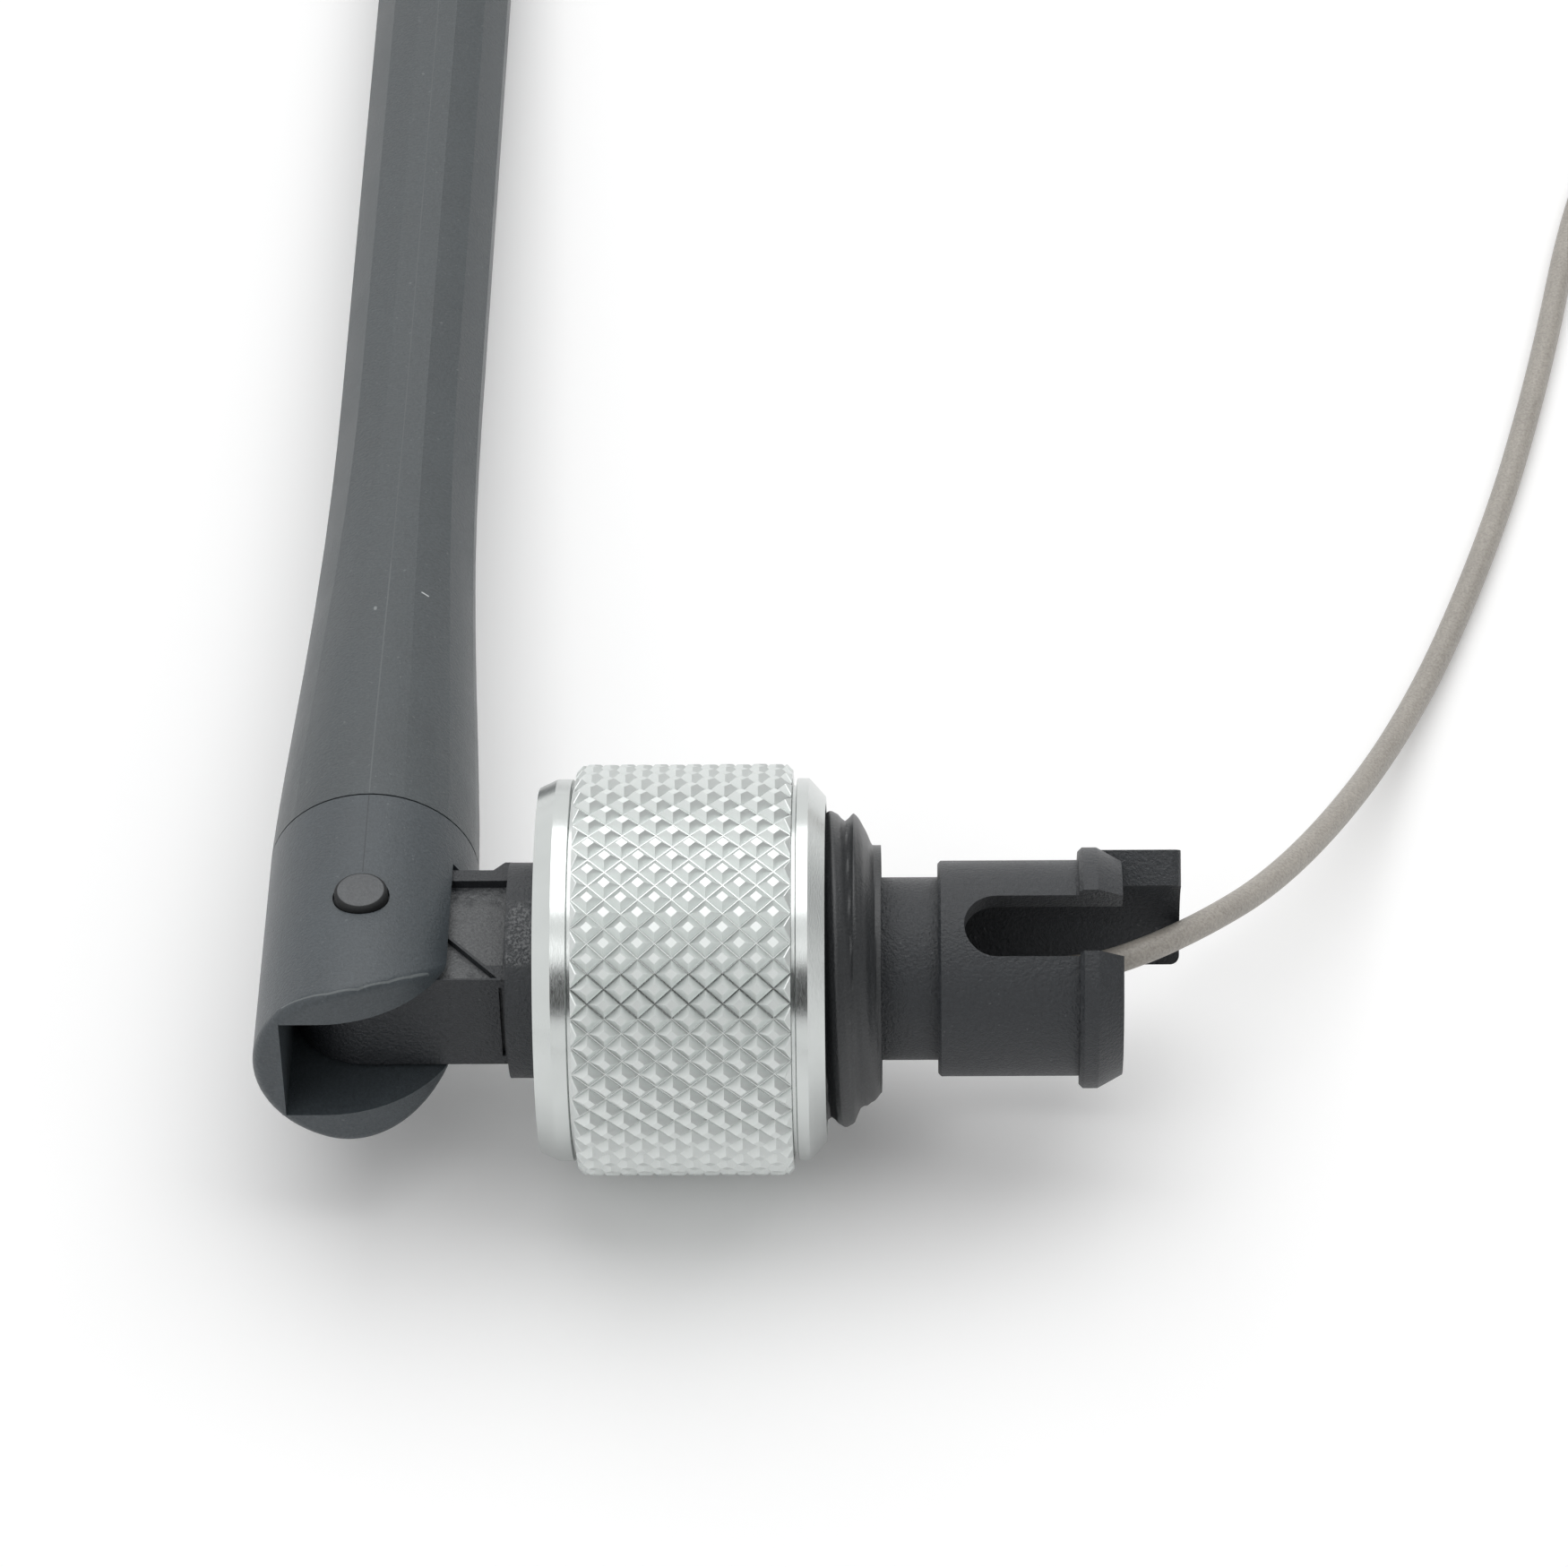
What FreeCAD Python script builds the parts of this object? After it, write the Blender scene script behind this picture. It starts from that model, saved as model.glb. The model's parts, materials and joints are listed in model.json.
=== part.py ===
"""Folding controller antenna: hinged blade, knurled thumb screw, snap-in stem and coaxial lead.

The stem axis is +X, from the hinge to the lead. The blade points along +Y from the hinge.
+Z is up. The origin lies on the stem axis in the plane of the ring's seat face.
"""
import FreeCAD, Part
import math
import os

Vector = FreeCAD.Vector
AXIS_X = Vector(1, 0, 0)
AXIS_Y = Vector(0, 1, 0)
AXIS_Z = Vector(0, 0, 1)
ORIGIN = Vector(0, 0, 0)

# Driving dimensions in millimetres and degrees

# Knurled ring, from its seat face towards the hinge
RING_RADIUS = 10.0
BAND_RADIUS = 9.3
SEAT_CHAMFER_LENGTH = 0.8
SEAT_CHAMFER_DROP = 0.9
SEAT_BAND_LENGTH = 0.8
KNURL_LENGTH = 10.45
KNURL_EDGE_CHAMFER = 0.3
KNURL_AROUND = 42
KNURL_ROWS = 13
KNURL_DEPTH = 0.42
KNURL_TOP_SHARE = 0.36
KNURL_SEAT_DEPTH = 0.25
GROOVE_WIDTH = 0.22
GROOVE_DEPTH = 0.35
HINGE_BAND_LENGTH = 0.97
HINGE_CHAMFER_LENGTH = 0.87
HINGE_CHAMFER_DROP = 0.4
RING_BORE_RADIUS = 8.15
RING_END_WALL = 1.5
END_HOLE_CLEARANCE = 0.25

# Threaded boss of the screw core
THREAD_RADIUS = 7.7
BOSS_PROJECTION = 2.66
BOSS_LEAD_IN_LENGTH = 1.36
BOSS_LEAD_IN_DROP = 1.35
CORE_RECESS = 0.4
THREAD_RELIEF = 0.4

# Stem: hub, flange, spindle, neck and snap collar
HUB_RADIUS = 5.25
HUB_PROJECTION = 1.5
FLANGE_RADIUS = 7.4
FLANGE_THICKNESS = 1.0
AXIAL_PLAY = 0.12
BEARING_CLEARANCE = 0.05
LIP_PASS_CLEARANCE = 0.1
SPINDLE_SETBACK = 0.5
NECK_RADIUS = 4.45
NECK_LENGTH = 2.74
COLLAR_RADIUS = 5.25
COLLAR_LENGTH = 6.82
COLLAR_BORE_RADIUS = 4.0
COLLAR_FLOOR = 0.8
COLLAR_EDGE_CHAMFER = 0.15
LIP_RADIUS = 5.86
LIP_FLAT_LENGTH = 0.9
LIP_TAPER_LENGTH = 1.2
LIP_END_RADIUS = 5.2
LIP_EDGE_CHAMFER = 0.2
SLOT_WIDTH = 3.2
SLOT_START = 1.26
SLOT_FROM_KEY_ANGLE = 112.0
KEY_OUTER_RADIUS = 5.75
KEY_REACH = 2.96
KEY_HALF_ANGLE = 42.0
KEY_CORNER_RADIUS = 0.45
COAX_BORE_RADIUS = 0.9

# Hinge
PIVOT_TO_HUB = 7.03
BARREL_RADIUS = 5.15
BARREL_END = 6.85
BARREL_END_ROUND = 6.5
BARREL_END_ROUND_OFFSET = 1.8
BARREL_EDGE_ROUND = 0.5
JOINT_DISTANCE = 7.1
JOINT_LINE_WIDTH = 0.1
JOINT_LINE_DEPTH = 0.35
SLOT_HALF_GAP = 3.05
SLOT_BACK_WALL = 3.7
SLOT_ROOF = 4.35
TONGUE_SIDE_CLEARANCE = 0.2
TONGUE_FRONT = 3.6
TONGUE_BACK = 4.1
TONGUE_ROOT_STEP = 0.55
TONGUE_ROOT_LENGTH = 0.9
POCKET_DEPTH = 0.36
POCKET_STEP_DEPTH = 0.1
POCKET_STEP_WIDTH = 1.58
POCKET_BACK_RIB = 0.76
POCKET_WEB = 0.12
POCKET_SHELF = 1.0
POCKET_ROOT_WALL = 0.2
POCKET_PIVOT_LAND = 3.2
POCKET_CORNER_WIDTH = 0.8
POCKET_DIAGONAL_DROP = 1.12
POCKET_DIAGONAL_RIB = 0.22
ROOT_GROOVE_WIDTH = 0.16
ROOT_GROOVE_DEPTH = 0.35
ROOT_GROOVE_SETBACK = 0.2
ROOT_GROOVE_HALF_LENGTH = 2.3
PIN_RADIUS = 1.2
PIN_RUNNING_CLEARANCE = 0.04
PIN_HEAD_RADIUS = 1.3
PIN_HEAD_SEAT = 0.6
PIN_HEAD_PROUD = 0.3
PIN_HEAD_ROUND = 0.22
PIN_HEAD_CROWN = 0.08
PIN_HEAD_GAP = 0.08
SWING_CHANNEL_HALF_GAP = 0.9
PIN_TIP_SETBACK = 0.15

# Blade
BLADE_LENGTH = 106.0
BLADE_HALF_WIDTH = 3.69
BLADE_HALF_THICKNESS = 3.05
TOP_FLAT_HALF = 1.05
SHOULDER_WIDTH = 2.55
SHOULDER_HEIGHT = 2.35
SIDE_FLAT_HALF = 0.9
FLARE_LENGTH = 36.0
FACET_CROWN = 0.03
SPIGOT_RADIUS = 3.4
SPIGOT_LENGTH = 6.0
SPIGOT_END_GAP = 0.2
CAVITY_HALF_WIDTH = 2.5
CAVITY_HALF_HEIGHT = 1.95
TIP_WALL = 3.0

# Radiator board inside the blade
BOARD_THICKNESS = 0.8
BOARD_SIDE_CLEARANCE = 0.08
BOARD_START_GAP = 1.2
BOARD_NOTCH_CLEARANCE = 0.1
BOARD_END_GAP = 2.0
COPPER_THICKNESS = 0.07
COPPER_EDGE_MARGIN = 0.4
FEED_DISTANCE = 52.0
FEED_GAP = 1.6
SOLDER_HEIGHT = 0.9
SOLDER_RADIUS = 1.05

# Coaxial cable and its push-on plug
CABLE_DIAMETER = 1.32
BRAID_DIAMETER = 1.0
CONDUCTOR_DIAMETER = 0.3
BRAID_LENGTH = 2.3
CONDUCTOR_LENGTH = 3.2
HINGE_CABLE_GAP = 0.2
CABLE_RISE_LENGTH = 6.0
PLUG_CAN_RADIUS = 1.5
PLUG_HEIGHT = 1.9
PLUG_WALL = 0.18
PLUG_CABLE_HEIGHT = 0.9
PLUG_CRIMP_LENGTH = 2.3
PLUG_INSULATOR_FOOT = 0.75
PLUG_SOCKET_RADIUS = 0.62
PLUG_SOCKET_FOOT = 0.2
PLUG_CONTACT_RADIUS = 0.3
PLUG_CONTACT_BORE = 0.15
PLUG_CONTACT_TOP = 1.3
PLUG_REACH = 17.6
TAIL_LANDING = 11.0

# The spare lead's coil
COIL_TURN_RADIUS = 7.9
COIL_CENTRE = (51.9, 76.5)
COIL_EDGE = 0.3

# The flare's sections: how many, and the eases of its width and of its roundness
FLARE_STEPS = 12
FLARE_WIDTH_EASE = 0.72
FLARE_ROUNDNESS_EASE = 1.35

# Stations of the rounded tip: distance before the tip and scale of the section
TIP_STATIONS = ((2.4, 1.0), (1.3, 0.955), (0.5, 0.85), (0.0, 0.68))

# Sizes and places that follow from the driving dimensions

RING_LENGTH = (SEAT_CHAMFER_LENGTH + SEAT_BAND_LENGTH + KNURL_LENGTH
               + HINGE_BAND_LENGTH + HINGE_CHAMFER_LENGTH)
RING_END_X = -RING_LENGTH
KNURL_RIGHT_X = -SEAT_CHAMFER_LENGTH - SEAT_BAND_LENGTH
KNURL_LEFT_X = KNURL_RIGHT_X - KNURL_LENGTH
HUB_FACE_X = RING_END_X - HUB_PROJECTION
PIVOT_X = HUB_FACE_X - PIVOT_TO_HUB
FLANGE_LEFT_X = RING_END_X + RING_END_WALL + AXIAL_PLAY
FLANGE_RIGHT_X = FLANGE_LEFT_X + FLANGE_THICKNESS
CORE_LEFT_X = FLANGE_RIGHT_X + AXIAL_PLAY
CORE_BORE_RADIUS = LIP_RADIUS + LIP_PASS_CLEARANCE
SPINDLE_RADIUS = CORE_BORE_RADIUS - BEARING_CLEARANCE
SPINDLE_END_X = BOSS_PROJECTION - SPINDLE_SETBACK
COLLAR_X = BOSS_PROJECTION + NECK_LENGTH
LIP_X = COLLAR_X + COLLAR_LENGTH
STEM_END_X = LIP_X + LIP_FLAT_LENGTH + LIP_TAPER_LENGTH
KEY_END_X = STEM_END_X + KEY_REACH
COLLAR_BORE_X = COLLAR_X + COLLAR_FLOOR
TONGUE_HALF = SLOT_HALF_GAP - TONGUE_SIDE_CLEARANCE
BLADE_TIP_Y = BLADE_LENGTH
CAVITY_START_Y = JOINT_DISTANCE + SPIGOT_LENGTH + SPIGOT_END_GAP
CAVITY_END_Y = BLADE_TIP_Y - TIP_WALL
BOARD_START_Y = CAVITY_START_Y + BOARD_START_GAP
BOARD_END_Y = CAVITY_END_Y - BOARD_END_GAP
BOARD_HALF_WIDTH = CAVITY_HALF_WIDTH - BOARD_SIDE_CLEARANCE
CABLE_RADIUS = CABLE_DIAMETER / 2.0
HINGE_CABLE_DISTANCE = CABLE_RADIUS + HINGE_CABLE_GAP
CABLE_RISE_START_Y = JOINT_DISTANCE + SPIGOT_LENGTH - CABLE_RADIUS
CABLE_RISE_END_Y = CABLE_RISE_START_Y + CABLE_RISE_LENGTH
BOARD_NOTCH_END_Y = CABLE_RISE_END_Y + 3.0

# The part lies on the ring and on the blade's tip, so it is rolled about the stem axis
FLOOR_Z = -RING_RADIUS
REST_ROLL = math.degrees(math.asin((RING_RADIUS - BLADE_HALF_THICKNESS) / BLADE_TIP_Y))
CABLE_FLOOR_Z = FLOOR_Z + CABLE_RADIUS


def revolve_about_x(profile):
    """Solid of revolution about the stem axis from (x, radius) points."""
    points = [Vector(x, 0, radius) for x, radius in profile]
    wire = Part.makePolygon(points + [points[0]])
    return Part.Face(wire).revolve(ORIGIN, AXIS_X, 360)


def cylinder_x(radius, start, end):
    return Part.makeCylinder(radius, end - start, Vector(start, 0, 0), AXIS_X)


def cylinder_y(radius, start, end, x=PIVOT_X):
    return Part.makeCylinder(radius, end - start, Vector(x, start, 0), AXIS_Y)


def cylinder_z(radius, start, end, x=PIVOT_X, y=0.0):
    return Part.makeCylinder(radius, end - start, Vector(x, y, start), AXIS_Z)


def box_between(low, high):
    size = [b - a for a, b in zip(low, high)]
    return Part.makeBox(size[0], size[1], size[2], Vector(*low))


def prism_z(outline, start, end):
    """Solid between two heights from an outline of (x, y) points."""
    points = [Vector(x, y, start) for x, y in outline]
    face = Part.Face(Part.makePolygon(points + [points[0]]))
    return face.extrude(Vector(0, 0, end - start))


def knurl_point(column, row, radius, aside=0.0, along=0.0):
    """Point of the knurl's lattice, counted in half diamonds round and along the ring."""
    angle = (column + aside) * math.pi / KNURL_AROUND
    x = KNURL_RIGHT_X - (row + along) * KNURL_LENGTH / KNURL_ROWS
    return Vector(x, radius * math.cos(angle), radius * math.sin(angle))


def knurl_top_sides():
    """Radius of a diamond's top at its two sides, so that the top is flat."""
    return RING_RADIUS / math.cos(KNURL_TOP_SHARE * math.pi / KNURL_AROUND)


def knurl_diamond(column, row):
    """Facets of one flat-topped diamond; a diamond on an end row is halved."""
    valley = RING_RADIUS - KNURL_DEPTH
    left = knurl_point(column - 1, row, valley)
    right = knurl_point(column + 1, row, valley)
    top_left = knurl_point(column, row, knurl_top_sides(), aside=-KNURL_TOP_SHARE)
    top_right = knurl_point(column, row, knurl_top_sides(), aside=KNURL_TOP_SHARE)
    facets = []
    top_tips = []
    for toward in (1, -1):
        if not 0 <= row + toward <= KNURL_ROWS:
            continue
        tip = knurl_point(column, row + toward, valley)
        top_tip = knurl_point(column, row, RING_RADIUS, along=toward * KNURL_TOP_SHARE)
        facets += [(left, top_left, tip), (top_left, top_tip, tip),
                   (top_tip, top_right, tip), (top_right, right, tip)]
        top_tips.append(top_tip)
    facets.append((top_left, top_tips[0], top_right, *top_tips[1:]))
    return facets


def outward_face(points, inward=False):
    """Flat face whose normal points away from the stem axis, or towards it."""
    face = Part.Face(Part.makePolygon([*points, points[0]]))
    centre = face.CenterOfMass
    if (face.normalAt(0, 0).dot(Vector(0, centre.y, centre.z)) < 0) != inward:
        face.reverse()
    return face


def knurl_end_face(row, inner_radius):
    """Flat toothed face that closes the knurl field at one end."""
    valley = RING_RADIUS - KNURL_DEPTH
    outline = []
    for column in range(2 * KNURL_AROUND):
        if (row + column) % 2 == 0:
            outline.append(knurl_point(column, row, valley))
        else:
            outline.append(knurl_point(column, row, knurl_top_sides(), aside=-KNURL_TOP_SHARE))
            outline.append(knurl_point(column, row, knurl_top_sides(), aside=KNURL_TOP_SHARE))
    hole = [knurl_point(column, row, inner_radius) for column in range(2 * KNURL_AROUND)]
    face = Part.Face(Part.makePolygon([*outline, outline[0]]))
    face = face.cut(Part.Face(Part.makePolygon([*hole, hole[0]]))).Faces[0]
    if (face.normalAt(0, 0).x < 0) != (row > 0):
        face.reverse()
    return face


def knurl_field():
    """Sleeve of crossed grooves that leave flat-topped diamonds, chamfered at both ends."""
    inner_radius = RING_RADIUS - KNURL_DEPTH - 2.0 * KNURL_SEAT_DEPTH
    faces = [knurl_end_face(0, inner_radius), knurl_end_face(KNURL_ROWS, inner_radius)]
    for column in range(2 * KNURL_AROUND):
        following = column + 1
        faces.append(outward_face([
            knurl_point(column, 0, inner_radius),
            knurl_point(following, 0, inner_radius),
            knurl_point(following, KNURL_ROWS, inner_radius),
            knurl_point(column, KNURL_ROWS, inner_radius),
        ], inward=True))
        for row in range(KNURL_ROWS + 1):
            if (row + column) % 2 == 1:
                faces += [outward_face(facet) for facet in knurl_diamond(column, row)]
    shell = Part.Shell(faces)
    shell.sewShape()
    edge_radius = RING_RADIUS - KNURL_EDGE_CHAMFER
    swell = 2.0 * KNURL_EDGE_CHAMFER
    envelope = revolve_about_x([
        (KNURL_RIGHT_X, 0.0),
        (KNURL_RIGHT_X, edge_radius),
        (KNURL_RIGHT_X - swell, edge_radius + swell),
        (KNURL_LEFT_X + swell, edge_radius + swell),
        (KNURL_LEFT_X, edge_radius),
        (KNURL_LEFT_X, 0.0),
    ])
    return Part.Solid(shell).common(envelope)


def knurled_ring():
    """Aluminium ring: two turned bands, a raised knurl field and an end wall round the hub."""
    seat_band_x = -SEAT_CHAMFER_LENGTH
    seat_radius = RING_RADIUS - KNURL_DEPTH - KNURL_SEAT_DEPTH
    hinge_band_x = RING_END_X + HINGE_CHAMFER_LENGTH
    groove_radius = BAND_RADIUS - GROOVE_DEPTH
    end_hole_radius = HUB_RADIUS + END_HOLE_CLEARANCE
    profile = [
        (0.0, RING_BORE_RADIUS),
        (0.0, BAND_RADIUS - SEAT_CHAMFER_DROP),
        (seat_band_x, BAND_RADIUS),
        (KNURL_RIGHT_X + GROOVE_WIDTH, BAND_RADIUS),
        (KNURL_RIGHT_X + GROOVE_WIDTH, groove_radius),
        (KNURL_RIGHT_X, groove_radius),
        (KNURL_RIGHT_X, seat_radius),
        (KNURL_LEFT_X, seat_radius),
        (KNURL_LEFT_X, groove_radius),
        (KNURL_LEFT_X - GROOVE_WIDTH, groove_radius),
        (KNURL_LEFT_X - GROOVE_WIDTH, BAND_RADIUS),
        (hinge_band_x, BAND_RADIUS),
        (RING_END_X, BAND_RADIUS - HINGE_CHAMFER_DROP),
        (RING_END_X, end_hole_radius),
        (RING_END_X + RING_END_WALL, end_hole_radius),
        (RING_END_X + RING_END_WALL, RING_BORE_RADIUS),
    ]
    return revolve_about_x(profile).fuse(knurl_field())


def screw_core():
    """Plastic core pressed into the ring; its threaded boss stands out of the seat face."""
    profile = [
        (CORE_LEFT_X, CORE_BORE_RADIUS),
        (CORE_LEFT_X, RING_BORE_RADIUS),
        (-CORE_RECESS, RING_BORE_RADIUS),
        (-CORE_RECESS, THREAD_RADIUS - THREAD_RELIEF),
        (0.0, THREAD_RADIUS),
        (BOSS_PROJECTION - BOSS_LEAD_IN_LENGTH, THREAD_RADIUS),
        (BOSS_PROJECTION, THREAD_RADIUS - BOSS_LEAD_IN_DROP),
        (BOSS_PROJECTION, CORE_BORE_RADIUS),
    ]
    return revolve_about_x(profile)


def stem_turned_body():
    """Hub, captive flange, spindle, neck, collar and snap lip as one round form."""
    taper_x = LIP_X + LIP_FLAT_LENGTH
    profile = [
        (HUB_FACE_X, 0.0),
        (HUB_FACE_X, HUB_RADIUS),
        (FLANGE_LEFT_X, HUB_RADIUS),
        (FLANGE_LEFT_X, FLANGE_RADIUS),
        (FLANGE_RIGHT_X, FLANGE_RADIUS),
        (FLANGE_RIGHT_X, SPINDLE_RADIUS),
        (SPINDLE_END_X, SPINDLE_RADIUS),
        (SPINDLE_END_X, NECK_RADIUS),
        (COLLAR_X, NECK_RADIUS),
        (COLLAR_X, COLLAR_RADIUS - COLLAR_EDGE_CHAMFER),
        (COLLAR_X + COLLAR_EDGE_CHAMFER, COLLAR_RADIUS),
        (LIP_X, COLLAR_RADIUS),
        (LIP_X, LIP_RADIUS - LIP_EDGE_CHAMFER),
        (LIP_X + LIP_EDGE_CHAMFER, LIP_RADIUS),
        (taper_x, LIP_RADIUS),
        (STEM_END_X, LIP_END_RADIUS),
        (STEM_END_X, 0.0),
    ]
    return revolve_about_x(profile)


def collar_slot(angle):
    """Snap slot through the collar wall; the angle is from +Z towards +Y."""
    half = SLOT_WIDTH / 2.0
    round_centre_x = COLLAR_X + SLOT_START + half
    reach = LIP_RADIUS + 1.0
    end_x = KEY_END_X + 1.0
    slot = box_between((round_centre_x, -half, 0.0), (end_x, half, reach))
    slot = slot.fuse(Part.makeCylinder(half, reach, Vector(round_centre_x, 0, 0), AXIS_Z))
    slot.rotate(ORIGIN, AXIS_X, -angle)
    return slot


def key_finger():
    """Long finger at the back of the collar that keys the stem in its housing."""
    start_x = LIP_X + LIP_FLAT_LENGTH
    wall = cylinder_x(KEY_OUTER_RADIUS, start_x, KEY_END_X)
    wall = wall.cut(cylinder_x(COLLAR_BORE_RADIUS, start_x - 1.0, KEY_END_X + 1.0))
    half_chord = KEY_OUTER_RADIUS * math.tan(math.radians(KEY_HALF_ANGLE))
    wedge = Part.Face(Part.makePolygon([
        Vector(start_x, 0, 0),
        Vector(start_x, KEY_OUTER_RADIUS, half_chord),
        Vector(start_x, KEY_OUTER_RADIUS, -half_chord),
        Vector(start_x, 0, 0),
    ])).extrude(Vector(KEY_END_X - start_x, 0, 0))
    finger = wall.common(wedge)
    end_corners = [edge for edge in finger.Edges if is_key_corner(edge)]
    return finger.makeFillet(KEY_CORNER_RADIUS, end_corners)


def is_key_corner(edge):
    """True for the radial edges at the key finger's free end."""
    ends = [vertex.Point for vertex in edge.Vertexes]
    if len(ends) != 2:
        return False
    at_end = all(abs(point.x - KEY_END_X) < 1e-6 for point in ends)
    radii = [math.hypot(point.y, point.z) for point in ends]
    return at_end and abs(radii[0] - radii[1]) > 0.1


def tongue_outline():
    """Hinge tongue seen from above: round at the pivot, stepped up to the hub at its back."""
    root_x = HUB_FACE_X - TONGUE_ROOT_LENGTH
    back_root = TONGUE_BACK + TONGUE_ROOT_STEP
    front_left = Vector(PIVOT_X, -TONGUE_FRONT, 0)
    nose = Vector(PIVOT_X - TONGUE_FRONT, 0, 0)
    back_left = Vector(PIVOT_X, TONGUE_FRONT, 0)
    corners = [
        back_left,
        Vector(PIVOT_X, TONGUE_BACK, 0),
        Vector(root_x, TONGUE_BACK, 0),
        Vector(root_x + TONGUE_ROOT_STEP, back_root, 0),
        Vector(HUB_FACE_X, back_root, 0),
        Vector(HUB_FACE_X, -TONGUE_FRONT, 0),
        front_left,
    ]
    edges = [Part.LineSegment(a, b).toShape() for a, b in zip(corners, corners[1:])]
    edges.append(Part.Arc(front_left, nose, back_left).toShape())
    return Part.Face(Part.Wire(edges))


def tongue_pockets():
    """Moulded pockets in one face of the tongue: the large one, its step and the corner triangle."""
    left_x = PIVOT_X + POCKET_PIVOT_LAND
    right_x = HUB_FACE_X - POCKET_ROOT_WALL
    back_y = TONGUE_BACK - POCKET_BACK_RIB
    front_y = -TONGUE_FRONT + POCKET_WEB
    shelf_y = -TONGUE_FRONT + POCKET_SHELF
    corner_x = right_x - POCKET_CORNER_WIDTH
    rise = (corner_x - left_x) * POCKET_DIAGONAL_DROP
    large = [
        (left_x, back_y),
        (right_x, back_y),
        (right_x, shelf_y),
        (corner_x, shelf_y),
        (left_x, shelf_y + rise),
    ]
    step = [
        (left_x, back_y),
        (right_x, back_y),
        (right_x, back_y - POCKET_STEP_WIDTH),
        (left_x, back_y - POCKET_STEP_WIDTH),
    ]
    corner_high_y = shelf_y + rise - POCKET_DIAGONAL_RIB
    corner = [
        (left_x, corner_high_y),
        (left_x, front_y),
        (left_x + (corner_high_y - front_y) / POCKET_DIAGONAL_DROP, front_y),
    ]
    floor_z = TONGUE_HALF - POCKET_DEPTH
    above_z = TONGUE_HALF + 1.0
    return [prism_z(large, floor_z, above_z), prism_z(corner, floor_z, above_z),
            prism_z(step, floor_z - POCKET_STEP_DEPTH, above_z)]


def root_groove():
    """Narrow upright groove in the tongue's front, beside the hub."""
    right_x = HUB_FACE_X - ROOT_GROOVE_SETBACK
    return box_between((right_x - ROOT_GROOVE_WIDTH, -TONGUE_FRONT - 1.0, -ROOT_GROOVE_HALF_LENGTH),
                       (right_x, -TONGUE_FRONT + ROOT_GROOVE_DEPTH, ROOT_GROOVE_HALF_LENGTH))


def hinge_tongue():
    """Flat tongue that fills the barrel's slot, with pockets on both faces."""
    face = tongue_outline()
    face.translate(Vector(0, 0, -TONGUE_HALF))
    tongue = face.extrude(Vector(0, 0, 2.0 * TONGUE_HALF))
    for pocket in tongue_pockets():
        lower = pocket.mirror(ORIGIN, AXIS_Z)
        tongue = tongue.cut(pocket).cut(lower)
    return tongue.cut(root_groove())


def stem():
    """One moulding: tongue, hub, flange, spindle, neck, slotted snap collar and key."""
    body = stem_turned_body()
    body = body.fuse(hinge_tongue())
    body = body.cut(cylinder_x(COLLAR_BORE_RADIUS, COLLAR_BORE_X, STEM_END_X + 1.0))
    for side in (-1.0, 1.0):
        body = body.cut(collar_slot(90.0 + side * SLOT_FROM_KEY_ANGLE))
    body = body.fuse(key_finger())
    body = body.cut(cylinder_x(COAX_BORE_RADIUS, PIVOT_X, COLLAR_BORE_X + 1.0))
    swing_channel = box_between(
        (PIVOT_X - TONGUE_FRONT - 1.0, -SWING_CHANNEL_HALF_GAP, -SWING_CHANNEL_HALF_GAP),
        (PIVOT_X + SWING_CHANNEL_HALF_GAP, TONGUE_BACK + 1.0, SWING_CHANNEL_HALF_GAP))
    body = body.cut(swing_channel)
    pin_hole = cylinder_z(PIN_RADIUS + PIN_RUNNING_CLEARANCE, -TONGUE_HALF - 1.0, TONGUE_HALF + 1.0)
    return body.cut(pin_hole).removeSplitter()


def barrel_end_cutter():
    """Everything beyond the barrel's end: flat at the back, rounded where it passes the hub."""
    reach = BARREL_RADIUS + 2.0
    centre_x = PIVOT_X - BARREL_END_ROUND_OFFSET
    centre_y = -BARREL_END + BARREL_END_ROUND
    flat_start = Vector(PIVOT_X - reach, -BARREL_END, -reach)
    tangent = Vector(centre_x, -BARREL_END, -reach)
    quarter = math.radians(-45.0)
    middle = Vector(centre_x + BARREL_END_ROUND * math.cos(quarter),
                    centre_y + BARREL_END_ROUND * math.sin(quarter), -reach)
    side = Vector(centre_x + BARREL_END_ROUND, centre_y, -reach)
    outer_side = Vector(PIVOT_X + 2.0 * reach, centre_y, -reach)
    outer_end = Vector(PIVOT_X + 2.0 * reach, -BARREL_END - reach, -reach)
    outer_back = Vector(PIVOT_X - reach, -BARREL_END - reach, -reach)
    edges = [
        Part.LineSegment(flat_start, tangent).toShape(),
        Part.Arc(tangent, middle, side).toShape(),
        Part.LineSegment(side, outer_side).toShape(),
        Part.LineSegment(outer_side, outer_end).toShape(),
        Part.LineSegment(outer_end, outer_back).toShape(),
        Part.LineSegment(outer_back, flat_start).toShape(),
    ]
    return Part.Face(Part.Wire(edges)).extrude(Vector(0, 0, 2.0 * reach))


def is_barrel_end_edge(edge):
    """True for the edges between the barrel's round side and its end."""
    ends = [vertex.Point for vertex in edge.Vertexes]
    on_side = all(abs(math.hypot(p.x - PIVOT_X, p.z) - BARREL_RADIUS) < 1e-4 for p in ends)
    at_end = all(p.y < -1.0 for p in ends)
    box = edge.BoundBox
    return on_side and at_end and box.XLength + box.ZLength > 1e-3


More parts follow.
